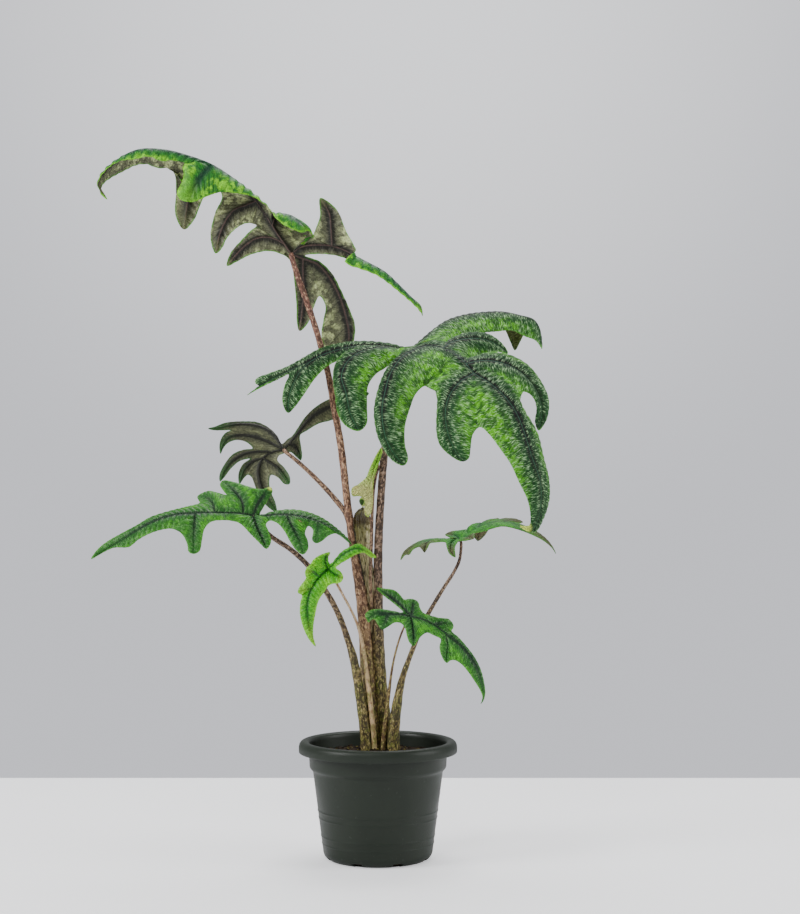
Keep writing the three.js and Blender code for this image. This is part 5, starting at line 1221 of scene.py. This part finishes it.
# Painted shade: the folded lobe lies out of the light, so it is drawn in the dark line colour.
folded_lobe_painted_shade = near(mesh, FOLDED_LOBE, FOLDED_LOBE_MM)
paleness = np.clip((LIME_ABOVE_MM - places_mm(mesh)[:, 2]) / (LIME_ABOVE_MM - PALE_BELOW_MM), 0, 1)
numbers["reach"] = paleness * (1 - folded_lobe_painted_shade)
numbers["off_rib"] *= 1 - folded_lobe_painted_shade
numbers["in_margin"] += FAR_FROM_MARGIN_MM * folded_lobe_painted_shade
add_piece("blade_new_leaf", mesh, "blade_new", new_finish, numbers)

# %% [markdown]
# ## The stalks
#
# A stalk (petiole) is a round rod that is thin under its blade and wide at its foot, where it wraps
# round the next one. It is a circle carried along a smooth path, with a radius at each landmark. Its
# skin is mottled like a snake's: dark and pale dashes, longer along the stalk than across it. It has
# to follow the stalk as it leans, so each point keeps its place in a straightened stalk: two numbers
# across it and one along it, as a vector attribute.

# %% A stalk's surface
STALK_SIDES = 36
STALK_STEP_MM, TOP_TRIM_MM = 1.6, 1.2
FLUTES, FLUTE_SHARE = 3, 0.035
UNDULATION_SHARE, UNDULATION_MM = 0.03, 23
CAP_LEAST_SHARE = 0.0004
LINE_OF_SIGHT = [0, 1, 0]


def stalk_mesh(name, path, girth=1.0):
    """Rings along the path, girth times as wide as its landmarks say, from just inside the blade. The
    radius swings FLUTES times round the stalk and slowly along it. Both ends close over a round cap."""
    marks = np.asarray(path, float)
    line = smooth_line(place(marks))
    run = run_lengths(line)
    count = int(run[-1] / STALK_STEP_MM)
    wanted = TOP_TRIM_MM + (run[-1] - TOP_TRIM_MM) * np.arange(count + 1) / count
    centre = points_at(line, wanted)
    along = points_at(line, np.minimum(wanted + 1, run[-1])) - points_at(line, np.maximum(wanted - 1, 0))
    along /= np.linalg.norm(along, axis=1, keepdims=True)
    radius = girth * np.interp(wanted, run[::SPAN_STEPS], marks[:, 3])
    from_end = np.minimum(wanted - TOP_TRIM_MM, run[-1] - wanted)
    cap = 1 - (1 - from_end / radius).clip(0) ** 2
    radius = radius * np.sqrt(np.clip(cap, CAP_LEAST_SHARE, 1))
    across = np.cross(LINE_OF_SIGHT, along)
    across /= np.linalg.norm(across, axis=1, keepdims=True)
    out = np.cross(along, across)
    turn = 2 * math.pi * np.arange(STALK_SIDES) / STALK_SIDES
    flutes = FLUTE_SHARE * np.cos(FLUTES * turn)[None]
    swings = UNDULATION_SHARE * np.sin(wanted / UNDULATION_MM * 2 * math.pi)[:, None]
    reach = radius[:, None] * (1 + (flutes + swings))
    ring = np.cos(turn)[None, :, None] * across[:, None] + np.sin(turn)[None, :, None] * out[:, None]
    points = (centre[:, None] + reach[:, :, None] * ring).reshape(-1, 3)
    ids = np.arange(len(points)).reshape(-1, STALK_SIDES)
    around = np.concatenate([ids, ids[:, :1]], axis=1)
    quads = around.ravel()[grid_quads(*around.shape)]
    i = np.arange(STALK_SIDES // 2 - 1)
    first, last = ids[0], ids[-1]
    start_cap = np.stack([first[-i - 1], first[-i - 2], first[i + 1], first[i]], axis=1)
    end_cap = np.stack([last[i], last[i + 1], last[-i - 2], last[-i - 1]], axis=1)
    mesh = make_mesh(name, points, np.vstack([quads, start_cap, end_cap]))
    skin = np.stack([reach * np.cos(turn), reach * np.sin(turn), wanted[:, None] + 0 * reach], axis=-1)
    height = np.repeat(centre[:, 2], STALK_SIDES)
    return mesh, dict(skin=skin.reshape(-1, 3), height=height)


print("corners on each ring of a stalk:", STALK_SIDES)

# %% [markdown]
# The skin of a stalk is satin, and its mottling has three layers: a ground of pinkish tan or brown,
# pale flecks on it, and dark dashes over both. Towards the foot the ground turns to olive and the
# flecks to straw yellow, and near the top the ground turns dull red. The height of each point above
# the floor tells the material how far up it is.

# %% Material of a stalk
DASH_MM, FINE_SPOT_MM, CLOUD_MM = 2.5, 1.7, 14
DASH_STRETCH, DASH_STRENGTH, DASH_STRENGTH_AT_FOOT = 0.5, 0.86, 0.8
DASH_CUT, CUT_SLOPE, CUT_HALF_WIDTH, DASH_DRIFT = 0.625, 0.3, 0.025, 0.25
FLECK_FROM, FLECK_FULL, FLECK_STRENGTH = 0.52, 0.62, 0.85
FOOT_LOW_MM, FOOT_HIGH_MM, FOOT_STRENGTH = 210, 340, 0.85
UPPER_FROM_MM, UPPER_FULL_MM, UPPER_TONE = 500, 680, "#7c5448"
MOSS_FROM, MOSS_FULL, MOSSY, MOSSY_FLECK = 0.4, 0.62, "#667028", "#b8a866"
STALK_SMOOTHEST, STALK_ROUGHEST = 0.42, 0.68


def stalk_material(name, ground, dash, fleck, foot, dashes=0.5):
    """Mottled skin. dashes is the share of it, about, that the dark dashes cover."""
    material, tree, shader = new_material(name, Specular_IOR_Level=0.4, IOR=1.42)
    skin, height = read(tree, "skin", out=1), read(tree, "height")
    squeezed = add(tree, "ShaderNodeMapping", {"Vector": skin, "Scale": (1.0, 1.0, DASH_STRETCH)})
    mottle = noise(tree, squeezed, DASH_MM, Roughness=0.55, Distortion=0.5)
    fine = noise(tree, squeezed, FINE_SPOT_MM)
    cloud = noise(tree, skin, CLOUD_MM)
    low_down = ramp(tree, height, FOOT_HIGH_MM, FOOT_LOW_MM, high=FOOT_STRENGTH)
    mossy = blend(tree, step_up(tree, cloud, MOSS_FROM, MOSS_FULL), foot, MOSSY)
    high_up = step_up(tree, height, UPPER_FROM_MM, UPPER_FULL_MM)
    base = blend(tree, low_down, blend(tree, high_up, ground, UPPER_TONE), mossy)
    light = ramp(tree, fine, FLECK_FROM, FLECK_FULL, high=FLECK_STRENGTH)
    base = blend(tree, light, base, blend(tree, low_down, fleck, MOSSY_FLECK))
    cut = DASH_CUT + CUT_SLOPE * (0.5 - dashes)
    drifting = product(tree, cloud, DASH_DRIFT, mottle)
    spots = step_up(tree, drifting, cut - CUT_HALF_WIDTH, cut + CUT_HALF_WIDTH)
    strength = step_up(tree, low_down, 0, FOOT_STRENGTH, DASH_STRENGTH, DASH_STRENGTH_AT_FOOT)
    base = blend(tree, product(tree, spots, strength), base, dash)
    gloss = ramp(tree, fine, 0, 1, STALK_SMOOTHEST, STALK_ROUGHEST)
    link_up(tree, shader, base, gloss, mottle, 0.4, 0.4)
    return material


pink = stalk_material("mottled_stalk_pinkish_tan", "#98735a", "#4a2f25", "#d0aa88", "#6e5f34")
tan = stalk_material("mottled_stalk_tan", "#8a6c56", "#3c281e", "#b89c7e", "#6e5f34")
brown = stalk_material("mottled_stalk_brown", "#755e4c", "#2e211a", "#ae927c", "#6e6334")
cream = stalk_material("smooth_stalk_cream", "#b8987a", "#8a6448", "#dcc4a4", "#c9ac84", dashes=0.25)
print("stalk finishes:", ", ".join(finish.name for finish in (pink, tan, brown, cream)))

# %% [markdown]
# Each path runs from just under the blade down into the potting mix. The last number of a landmark is
# the stalk's radius there, in millimetres.

# %% Eight stalks
STALKS = {
    "stalk_top": [
        (290.7, 252, -3, 2.6), (292.3, 259, -7.5, 3.2), (298, 277, -5, 3.5), (307, 302, 1, 3.6),
        (316, 329, 8, 3.6), (322, 350, 13, 3.7), (328.5, 375, 15, 3.8), (334, 406, 15, 4.1),
        (341, 446, 12, 4.3), (348.3, 509, 8, 4.5), (355, 555, 4, 5.6), (362, 600, 2, 6.9),
        (366.5, 650, 2, 7.8), (370.5, 700, 4, 8.3), (375, 745, 6.5, 8.4), (375.5, 775, 7, 7.8)],
    "stalk_velvet": [
        (409, 347, 8, 2.8), (407, 354, 7.5, 3.2), (402, 369, 7, 3.5), (395, 395, 4, 3.7),
        (388.5, 425, 1, 3.9), (384.8, 451, -1, 4.1), (380.3, 509, 0, 4.3), (378.3, 555, 2, 4.8),
        (378.2, 600, 4, 5.3), (378.5, 650, 5, 7), (382.2, 700, 6, 7.4), (387.9, 745, 7, 7.4),
        (388, 775, 7, 6.6)],
    "stalk_rear": [
        (283, 449, 43, 2), (286.5, 452.5, 37.5, 2.3), (300, 463.5, 34, 2.5), (318, 480.5, 29, 2.8),
        (335, 499, 24, 3.2), (346, 514, 20, 3.3), (351, 532, 18, 3.4), (354.5, 556, 17, 3.5),
        (360, 600, 15.5, 3.8), (363, 650, 15, 4.2), (364.5, 700, 13.5, 4.5), (364.8, 745, 11, 4.5),
        (364.8, 775, 11, 4.3)],
    "stalk_left": [
        (253, 515, -31, 2), (254.5, 518.5, -26.5, 2.3), (262, 528, -23, 2.6), (272, 537, -22, 2.9),
        (291, 549.7, -22, 3), (308.5, 566, -22, 3.1), (321, 584, -21, 3.2), (331.3, 600, -20, 3.4),
        (341, 620, -18, 3.5), (348, 640, -15.5, 3.8), (353.5, 658, -13.5, 4.9), (360.5, 697, -9.5, 5.9),
        (366.5, 745, -7, 6.7), (366.8, 775, -7, 6.4)],
    "stalk_lime": [
        (327.5, 568, -43, 1.1), (330, 572, -39.5, 1.2), (337, 584, -35, 1.2), (343, 595, -31, 1.2),
        (350, 608, -26, 1.2), (356.5, 622, -20, 1.3), (361, 637, -15, 1.6), (364, 652, -12.5, 2),
        (367.5, 680, -11, 2.3), (370.8, 705, -10.5, 2.5), (374.5, 745, -9.5, 2.6), (375, 775, -9.5, 2.5)],
    "stalk_right": [
        (461, 540, 6, 1.5), (461.2, 545, 5.5, 1.6), (459.5, 560, 3, 1.7), (454, 572, 1, 1.8),
        (445, 586, -2, 2), (434, 604, -5, 2.2), (424, 622, -7, 2.4), (414.5, 645, -9, 2.6),
        (408, 662, -10, 2.8), (402, 680, -10.5, 3.6), (397, 706, -10, 5.4), (394, 730, -9, 6.5),
        (393.5, 745, -8.5, 6.8), (393.4, 775, -8.5, 6.5)],
    "stalk_front": [
        (411, 615.5, -44, 0.9), (408.5, 619.5, -40.5, 1), (404.5, 626.5, -37, 1), (400.5, 636, -32, 1),
        (396.5, 649, -26, 1), (393, 664, -20, 1.1), (390.5, 680, -15.5, 1.3), (389, 693, -13, 1.6),
        (386.5, 712, -11, 2.1), (384, 735, -9.8, 2.3), (383.2, 745, -9.5, 2.4), (383, 775, -9.5, 2.3)],
    "stalk_new": [
        (376.6, 461.5, -8.5, 1.1), (378.4, 467, -4.4, 1.4), (376.4, 475, -4.2, 1.6),
        (374.4, 484, -4.5, 1.8), (373.2, 495, -4.5, 1.9), (372, 520, -4, 2), (371.4, 548, -3, 2),
        (370.4, 573, -2, 2), (370.7, 590, -2, 2), (371.5, 602, -2.8, 1.9), (371.3, 612, 4, 2),
        (371.8, 624, 12, 2.4), (372.8, 638, 17, 2.6), (374, 650, 18.2, 2.7), (377, 700, 19.6, 2.9),
        (381, 745, 19.6, 3), (381, 775, 19.6, 3)],
}
STALK_FINISHES = {
    "stalk_top": ("stalk_pink", pink), "stalk_velvet": ("stalk_brown", brown),
    "stalk_rear": ("stalk_pink", tan), "stalk_left": ("stalk_brown", brown),
    "stalk_lime": ("stalk_pale", cream), "stalk_right": ("stalk_brown", brown),
    "stalk_front": ("stalk_pink", pink), "stalk_new": ("stalk_brown", tan),
}
GIRTHS = {"stalk_velvet": 1.1, "stalk_right": 1.1, "stalk_lime": 1.25, "stalk_front": 1.2}
for name, path in STALKS.items():
    slot_name, finish = STALK_FINISHES[name]
    mesh, numbers = stalk_mesh(name + "_rod", path, GIRTHS.get(name, 1.0))
    add_piece(name + "_rod", mesh, name, finish, numbers)

# %% [markdown]
# ## The papery sheath
#
# A dry leaf (cataphyll) once wrapped the new leaf's stalk. It is a trough, open towards the viewer,
# made of rings that are only part of a circle. At its top the rings get smaller, like a hood.

# %% Sheath
SHEATH_PATH = [
    (363.2, 507, -3, 0.8), (362.6, 509, -4, 5.4), (362, 513, -5, 8.7), (362, 520, -5, 10.2),
    (362.6, 532, -5, 10.3), (364.1, 548, -3, 8.6), (367.3, 568, -1.2, 6.8), (369.6, 590, 0, 5.6),
    (371.3, 604, 1, 4.8), (372.6, 622, 2, 4), (374, 640, 3, 3)]
SHEATH_LEFT, SHEATH_RIGHT = 1.75, 1.45
SHEATH_THICKNESS_MM = 0.5
SHEATH_ROWS, SHEATH_COLUMNS = 70, 40
CRINKLE_MM, CRINKLE_LENGTH_MM, CRINKLES, FINE_CRINKLES = 0.6, 5, 9, 21
TOP_ARCH_MM, TOP_FADE_MM, TOP_TEARS, TEAR_MM = 3, 12, 13, 0.3
SKIN_RADIUS_MM = 8


def sheath_mesh(name):
    """Part rings: turn runs from one wing to the other, down runs along the path. The crinkles are two
    waves across, and the wider one also swings along the path. The top edge is arched and torn."""
    marks = np.asarray(SHEATH_PATH, float)
    line = smooth_line(place(marks))
    run = run_lengths(line)
    down = (run[-1] * np.linspace(0, 1, SHEATH_ROWS))[:, None]
    centre = points_at(line, down[:, 0])
    radius = np.interp(down, run[::SPAN_STEPS], marks[:, 3])
    turn = np.linspace(-SHEATH_LEFT, SHEATH_RIGHT, SHEATH_COLUMNS)[None]
    from_middle = np.linspace(-1, 1, SHEATH_COLUMNS)[None]
    waves = np.sin(turn * CRINKLES) * np.cos(down / CRINKLE_LENGTH_MM) + 0.5 * np.sin(turn * FINE_CRINKLES)
    crinkle = CRINKLE_MM * waves
    torn = TOP_ARCH_MM * from_middle ** 2 + TEAR_MM * np.sin(turn * TOP_TEARS)
    faces = []
    for offset in (SHEATH_THICKNESS_MM / 2, -SHEATH_THICKNESS_MM / 2):
        reach = radius + offset + crinkle
        x = np.sin(turn) * reach + centre[:, :1]
        y = np.cos(turn) * reach + centre[:, 1:2]
        z = 0 * reach + centre[:, 2:] - np.exp(-down / TOP_FADE_MM) * torn
        faces.append(np.stack([x, y, z], axis=-1).reshape(-1, 3))
    mesh = closed_sheet(name, faces, grid_quads(SHEATH_ROWS, SHEATH_COLUMNS))
    flat = 0 * crinkle
    skin = np.stack([turn * SKIN_RADIUS_MM + flat, flat, down + flat], axis=-1)
    wing = from_middle + flat
    return mesh, dict(skin=np.tile(skin.reshape(-1, 3), (2, 1)), height=np.tile(faces[0][:, 2], 2),
                      wing=np.tile(wing.ravel(), 2))


print("points on each face of the sheath:", SHEATH_ROWS * SHEATH_COLUMNS)

# %% [markdown]
# The sheath is a membrane of dead, dry tissue, so it is olive brown, and glossy in places. Its long
# fibres run up and down. They are drawn about a millimetre wide, coarser than real ones, so that they
# show. Lower down, where it is still fresh, its stripes are pale. Under its hood's olive rim, the shade
# of the hood's fold is painted on as a dark brown band. Its right wing is bleached in streaks, and its
# left one has a dark edge.

# %% Material of the sheath
FIBRE_MM, FIBRE_STRETCH, PAPER_PATCH_MM = 1.1, 0.09, 6
FRESH_FROM_MM, FRESH_FULL_MM = 395, 355
HOOD_SHADE_FROM_MM, HOOD_SHADE_FULL_MM, RIM_FROM_MM, RIM_FULL_MM = 395, 404, 410, 416
RIGHT_WING, RIGHT_WING_FULL, LEFT_WING, LEFT_WING_FULL = 0.15, 0.4, -0.6, -0.8
paper, tree, shader = new_material("dry_membrane_olive_brown", Specular_IOR_Level=0.6, IOR=1.45)
skin, height, wing = read(tree, "skin", out=1), read(tree, "height"), read(tree, "wing")
drawn_out = add(tree, "ShaderNodeMapping", {"Vector": skin, "Scale": (1.0, 1.0, FIBRE_STRETCH)})
fibre = noise(tree, drawn_out, FIBRE_MM, 3.0)
patch = noise(tree, skin, PAPER_PATCH_MM, 3.0)
pale = blend(tree, ramp(tree, height, FRESH_FROM_MM, FRESH_FULL_MM), "#8a8452", "#d4c498")
dark = blend(tree, step_up(tree, patch, 0.4, 0.6), "#2e2714", "#6c6a38")
membrane = blend(tree, step_up(tree, fibre, 0.42, 0.54), dark, pale)
to_right = step_up(tree, wing, RIGHT_WING, RIGHT_WING_FULL)
to_right = product(tree, to_right, step_up(tree, fibre, 0.44, 0.5))
bleached = product(tree, to_right, step_up(tree, patch, 0.38, 0.5))
membrane = blend(tree, bleached, membrane, "#d8cca4")
membrane = blend(tree, step_up(tree, wing, LEFT_WING, LEFT_WING_FULL), membrane, "#241c10")
# Painted shade: a dark brown band under the hood's olive rim, where the fold of the hood shades the
# membrane.
hood_painted_shade = product(tree, step_up(tree, height, HOOD_SHADE_FROM_MM, HOOD_SHADE_FULL_MM, high=0.8),
               step_up(tree, height, RIM_FULL_MM, RIM_FROM_MM, low=0.1))
membrane = blend(tree, hood_painted_shade, membrane, "#42331c")
dry = ramp(tree, patch, 0.4, 0.65, 0.14, 0.42)
link_up(tree, shader, membrane, dry, fibre, 0.5, 0.4)
mesh, numbers = sheath_mesh("sheath_membrane")
add_piece("sheath_membrane", mesh, "sheath", paper, numbers)

# %% [markdown]
# ## The pot
#
# The pot is injection moulded: a profile turned about its axis. The corners of a moulding are
# never sharp, so every corner of the profile is replaced with a short curve. Notches in the foot let
# water out. They lift the underside between two angles, where the grid has extra columns.

# %% Pot profile
POT_HEIGHT_MM, RIM_RADIUS_MM, FOOT_RADIUS_MM, FLOOR_MM = 142, 95, 66, 2
RING_HEIGHTS_MM = (20.4, 29.4, 51, 59.4)
RING_HALF_WIDTH_MM, RING_RELIEF_MM, CORNER_MM = 1.4, 0.6, 2.2
FOOT = [(0, 0), (55.5, 0), (60.4, 1.3), (64, 4.8), (65.6, 8.6), (FOOT_RADIUS_MM, 12)]
COLLAR = [(77.4, 101), (78, 106), (82, 110), (83.4, 137.8)]
LIP = [(91, 138.2), (93.2, 135.5), (93.2, 128), (RIM_RADIUS_MM, 128), (RIM_RADIUS_MM, 136), (93.6, 139.8),
       (90.6, POT_HEIGHT_MM), (86.5, POT_HEIGHT_MM), (83, 140.8), (81.6, 137.5)]
INSIDE = [(80.2, 110.6), (76.2, 106.8), (75.6, 101), (64.2, 12), (62.2, 6.4), (59.2, 3.4), (55.5, FLOOR_MM),
          (0, FLOOR_MM)]


def body_radius(height):
    """The body is a plain cone from the foot to the collar."""
    return np.interp(height, [FOOT[-1][1], COLLAR[0][1]], [FOOT[-1][0], COLLAR[0][0]])


def rounded(profile, most_mm, steps=4):
    """Each corner becomes a parabola that starts and ends at most most_mm from it, or 0.45 of the
    way to its neighbour if that is less."""
    p = np.asarray(profile, float)
    corner, before, after = p[1:-1], p[:-2] - p[1:-1], p[2:] - p[1:-1]
    sides = []
    for way in (before, after):
        length = np.linalg.norm(way, axis=1, keepdims=True)
        sides.append(corner + way / length * np.minimum(most_mm, 0.45 * length))
    t = np.linspace(0, 1, steps)[None, :, None]
    start, end = sides[0][:, None], sides[1][:, None]
    curve = (1 - t) ** 2 * start + 2 * t * (1 - t) * corner[:, None] + t ** 2 * end
    return np.vstack([p[:1], curve.reshape(-1, 2), p[-1:]])


rings = [(body_radius(height + shift) + (RING_RELIEF_MM if shift == 0 else 0), height + shift)
         for height in RING_HEIGHTS_MM for shift in (-RING_HALF_WIDTH_MM, 0, RING_HALF_WIDTH_MM)]
POT_PROFILE = rounded(FOOT + rings + COLLAR + LIP + INSIDE, CORNER_MM)
print("points in the pot's profile:", len(POT_PROFILE))

# %% Pot mesh
NOTCH_COUNT, NOTCH_WIDTH_MM, NOTCH_RISE_MM, NOTCH_DEPTH_MM, NOTCH_EDGE = 8, 13, 5, 12, 0.002
POT_COLUMNS = 192


def turned_mesh(name, profile, columns, shape=None):
    """The profile turned about the Z axis. shape may change the points once they are laid out."""
    turn = np.asarray(columns)
    radius, height = profile[:, 0][:, None], profile[:, 1][:, None]
    points = np.stack([radius * np.cos(turn), radius * np.sin(turn), height + 0 * turn], axis=-1)
    if shape is not None:
        points = shape(points, radius + 0 * turn, turn[None] + 0 * radius)
    quads = grid_quads(len(profile), len(turn) + 1)
    points = np.concatenate([points, points[:, :1]], axis=1).reshape(-1, 3)
    points, quads, _ = weld(points, quads)
    return make_mesh(name, points, quads[:, ::-1])


def with_notches(points, radius, turn):
    """Inside a notch's angle, and near enough to the foot's edge, nothing is lower than its roof."""
    spacing = 2 * math.pi / NOTCH_COUNT
    from_middle = np.abs((turn % spacing) - spacing / 2)
    inside = (from_middle < NOTCH_WIDTH_MM / 2 / FOOT_RADIUS_MM) & (radius > FOOT_RADIUS_MM - NOTCH_DEPTH_MM)
    low = points[..., 2] < NOTCH_RISE_MM
    points[..., 2] = np.where(inside & low & (radius < FOOT_RADIUS_MM), NOTCH_RISE_MM, points[..., 2])
    return points


middles = (np.arange(NOTCH_COUNT) + 0.5) * 2 * math.pi / NOTCH_COUNT
half_angle = NOTCH_WIDTH_MM / 2 / FOOT_RADIUS_MM
edges = [middles + side * half_angle + nudge for side in (-1, 1) for nudge in (-NOTCH_EDGE, NOTCH_EDGE)]
even_turn = np.arange(POT_COLUMNS) * 2 * math.pi / POT_COLUMNS
columns = np.sort(np.concatenate([even_turn, *edges]))
print("columns round the pot:", len(columns))

# %% [markdown]
# Nursery pots are moulded from recycled polypropylene: dark grey-green, satin, with the fine orange-
# peel texture of the mould and a few paler specks. The mould's texture is under a millimetre, so it is
# drawn a little coarser than it is.

# %% Material and piece of the pot
PEEL_MM, FLOW_MM, SPECK_MM = 1.4, 45, 3.5
plastic, tree, shader = new_material("moulded_polypropylene_charcoal", Specular_IOR_Level=0.26, IOR=1.49)
place_on = add(tree, "ShaderNodeTexCoord", out=3)
peel = noise(tree, place_on, PEEL_MM * MM)
flow = noise(tree, place_on, FLOW_MM * MM, 3.0)
specks = ramp(tree, noise(tree, place_on, SPECK_MM * MM, 1.0), 0.7, 0.78, high=0.2)
body = blend(tree, specks, blend(tree, flow, "#1d231c", "#2b3229"), "#4e544e")
satin = ramp(tree, flow, NOISE_LOW, NOISE_HIGH, 0.34, 0.48)
link_up(tree, shader, body, satin, peel, 0.5, 0.25)
pot_mesh = turned_mesh("pot_moulding", POT_PROFILE, columns, with_notches)
add_piece("pot_moulding", pot_mesh, "pot", plastic)

# %% [markdown]
# ## The potting mix
#
# The mix fills the pot and mounds up to the stalks. Its body is turned like the pot, and its top is
# broken up with waves of several sizes. Crumbs of bark and fired clay lie on it. Each crumb is an
# octahedron with its corners pushed in and out, and all of them are one mesh, worked out at once.

# %% Body of the mix
MIX_LEVEL_MM, MOUND_HEIGHT_MM, MOUND_REACH_MM, GAP_MM = 124, 9, 38, 0.3
TOP_RADIUS_MM, CLODS_WITHIN_MM, TOP_RINGS = 80.6, 80, 90


def mound(radius):
    """A bell that is highest at the stalks."""
    return MIX_LEVEL_MM + MOUND_HEIGHT_MM * np.exp(-(radius / MOUND_REACH_MM) ** 2)


def uneven(x, y):
    """Crossing waves of three sizes, at most 2 mm high in all."""
    broad = 0.9 * np.sin(x * 0.31 + y * 0.27) + 0.6 * np.sin(x * 0.13 - y * 0.19)
    return broad + 0.5 * np.sin(x * 1.1 + 2 * np.sin(y * 0.7)) * np.cos(y * 1.3 + x * 0.4)


def with_clods(points, radius, turn):
    """Only the top, away from the pot's wall, is uneven."""
    top = (points[..., 2] >= MIX_LEVEL_MM) & (radius < CLODS_WITHIN_MM)
    points[..., 2] += np.where(top, uneven(points[..., 0], points[..., 1]), 0)
    return points


top_radius = np.linspace(TOP_RADIUS_MM, 0, TOP_RINGS)
mix_wall = [(radius - GAP_MM, height + GAP_MM / 2) for radius, height in INSIDE[-2::-1]]
mix_profile = np.array([(0, FLOOR_MM + GAP_MM), *mix_wall, *zip(top_radius, mound(top_radius))])
mix_mesh = turned_mesh("mix_body", mix_profile, even_turn, with_clods)
print("points in the mix's profile:", len(mix_profile))

# %% Crumbs
CRUMB_COUNT, CRUMB_SEED, CRUMBS_WITHIN_MM = 1500, 7, 79
CORNERS = np.array([(1, 0, 0), (0, 1, 0), (-1, 0, 0), (0, -1, 0), (0, 0, 1), (0, 0, -1)], float)
SIDES = np.array([(0, 1, 4, 4), (1, 2, 4, 4), (2, 3, 4, 4), (3, 0, 4, 4),
                  (1, 0, 5, 5), (2, 1, 5, 5), (3, 2, 5, 5), (0, 3, 5, 5)])


def crumbs(name):
    """Octahedra of about 1 to 3 mm half width, turned at random about Z and flattened, on the mound."""
    draw = np.random.default_rng(CRUMB_SEED)
    radius = CRUMBS_WITHIN_MM * np.sqrt(draw.uniform(0.0, 1, CRUMB_COUNT))
    turn = draw.uniform(0, 2 * math.pi, CRUMB_COUNT)
    size = draw.uniform(0.9, 2.6, CRUMB_COUNT) * (1 - 0.2 * radius / CRUMBS_WITHIN_MM)
    spin = draw.uniform(0, 2 * math.pi, CRUMB_COUNT)
    jitter = draw.uniform(0.6, 1.3, (CRUMB_COUNT, 6, 1))
    width, thickness = draw.uniform(0.5, 1, CRUMB_COUNT), draw.uniform(0.4, 0.8, CRUMB_COUNT)
    flat = np.stack([np.ones(CRUMB_COUNT), width, thickness], axis=1)
    shape = CORNERS[None] * jitter * (size[:, None] * flat)[:, None]
    cos, sin = np.cos(spin)[:, None], np.sin(spin)[:, None]
    x, y = radius * np.cos(turn), radius * np.sin(turn)
    points = np.stack([shape[..., 0] * cos - shape[..., 1] * sin + x[:, None],
                       shape[..., 0] * sin + shape[..., 1] * cos + y[:, None],
                       shape[..., 2] + (mound(radius) + uneven(x, y) + 0.2 * size)[:, None]], axis=-1)
    quads = (SIDES[None] + 6 * np.arange(CRUMB_COUNT)[:, None, None]).reshape(-1, 4)
    tone = np.repeat(draw.uniform(0, 1, CRUMB_COUNT), 6)
    return make_mesh(name, points.reshape(-1, 3), quads), dict(tone=tone)


crumb_mesh, numbers = crumbs("mix_crumbs")
print("crumbs on the mix:", CRUMB_COUNT)

# %% [markdown]
# The mix is damp and almost black, with brown bark and a few olive-yellow grains. The crumbs read a
# random number of their own for their colour.

# %% Materials and pieces of the mix
MIX_GRAIN_MM, MIX_PATCH_MM = 2.2, 4


def mix_material(name, own_tone):
    """Damp peat and bark. A tone chooses between dark and light grains: the mesh's own, or noise."""
    material, tree, shader = new_material(name, Specular_IOR_Level=0.25, IOR=1.4, Roughness=0.92)
    place_on = add(tree, "ShaderNodeTexCoord", out=3)
    grains = add(tree, "ShaderNodeTexVoronoi", {"Vector": place_on, "Scale": 1 / (MIX_GRAIN_MM * MM)})
    tone = read(tree, "tone") if own_tone else noise(tree, place_on, MIX_PATCH_MM * MM, 4.0)
    dark = blend(tree, tone, "#120d08", "#33261a")
    colour = blend(tree, ramp(tree, tone, 0.62, 0.98), dark, "#746a30")
    link_up(tree, shader, colour, None, grains, 0.8, 1.0)
    return material


soil = mix_material("damp_peat_and_bark", own_tone=False)
bark = mix_material("bark_and_clay_crumbs", own_tone=True)
add_piece("mix_body", mix_mesh, "potting_mix", soil)
add_piece("mix_crumbs", crumb_mesh, "potting_mix", bark, numbers)
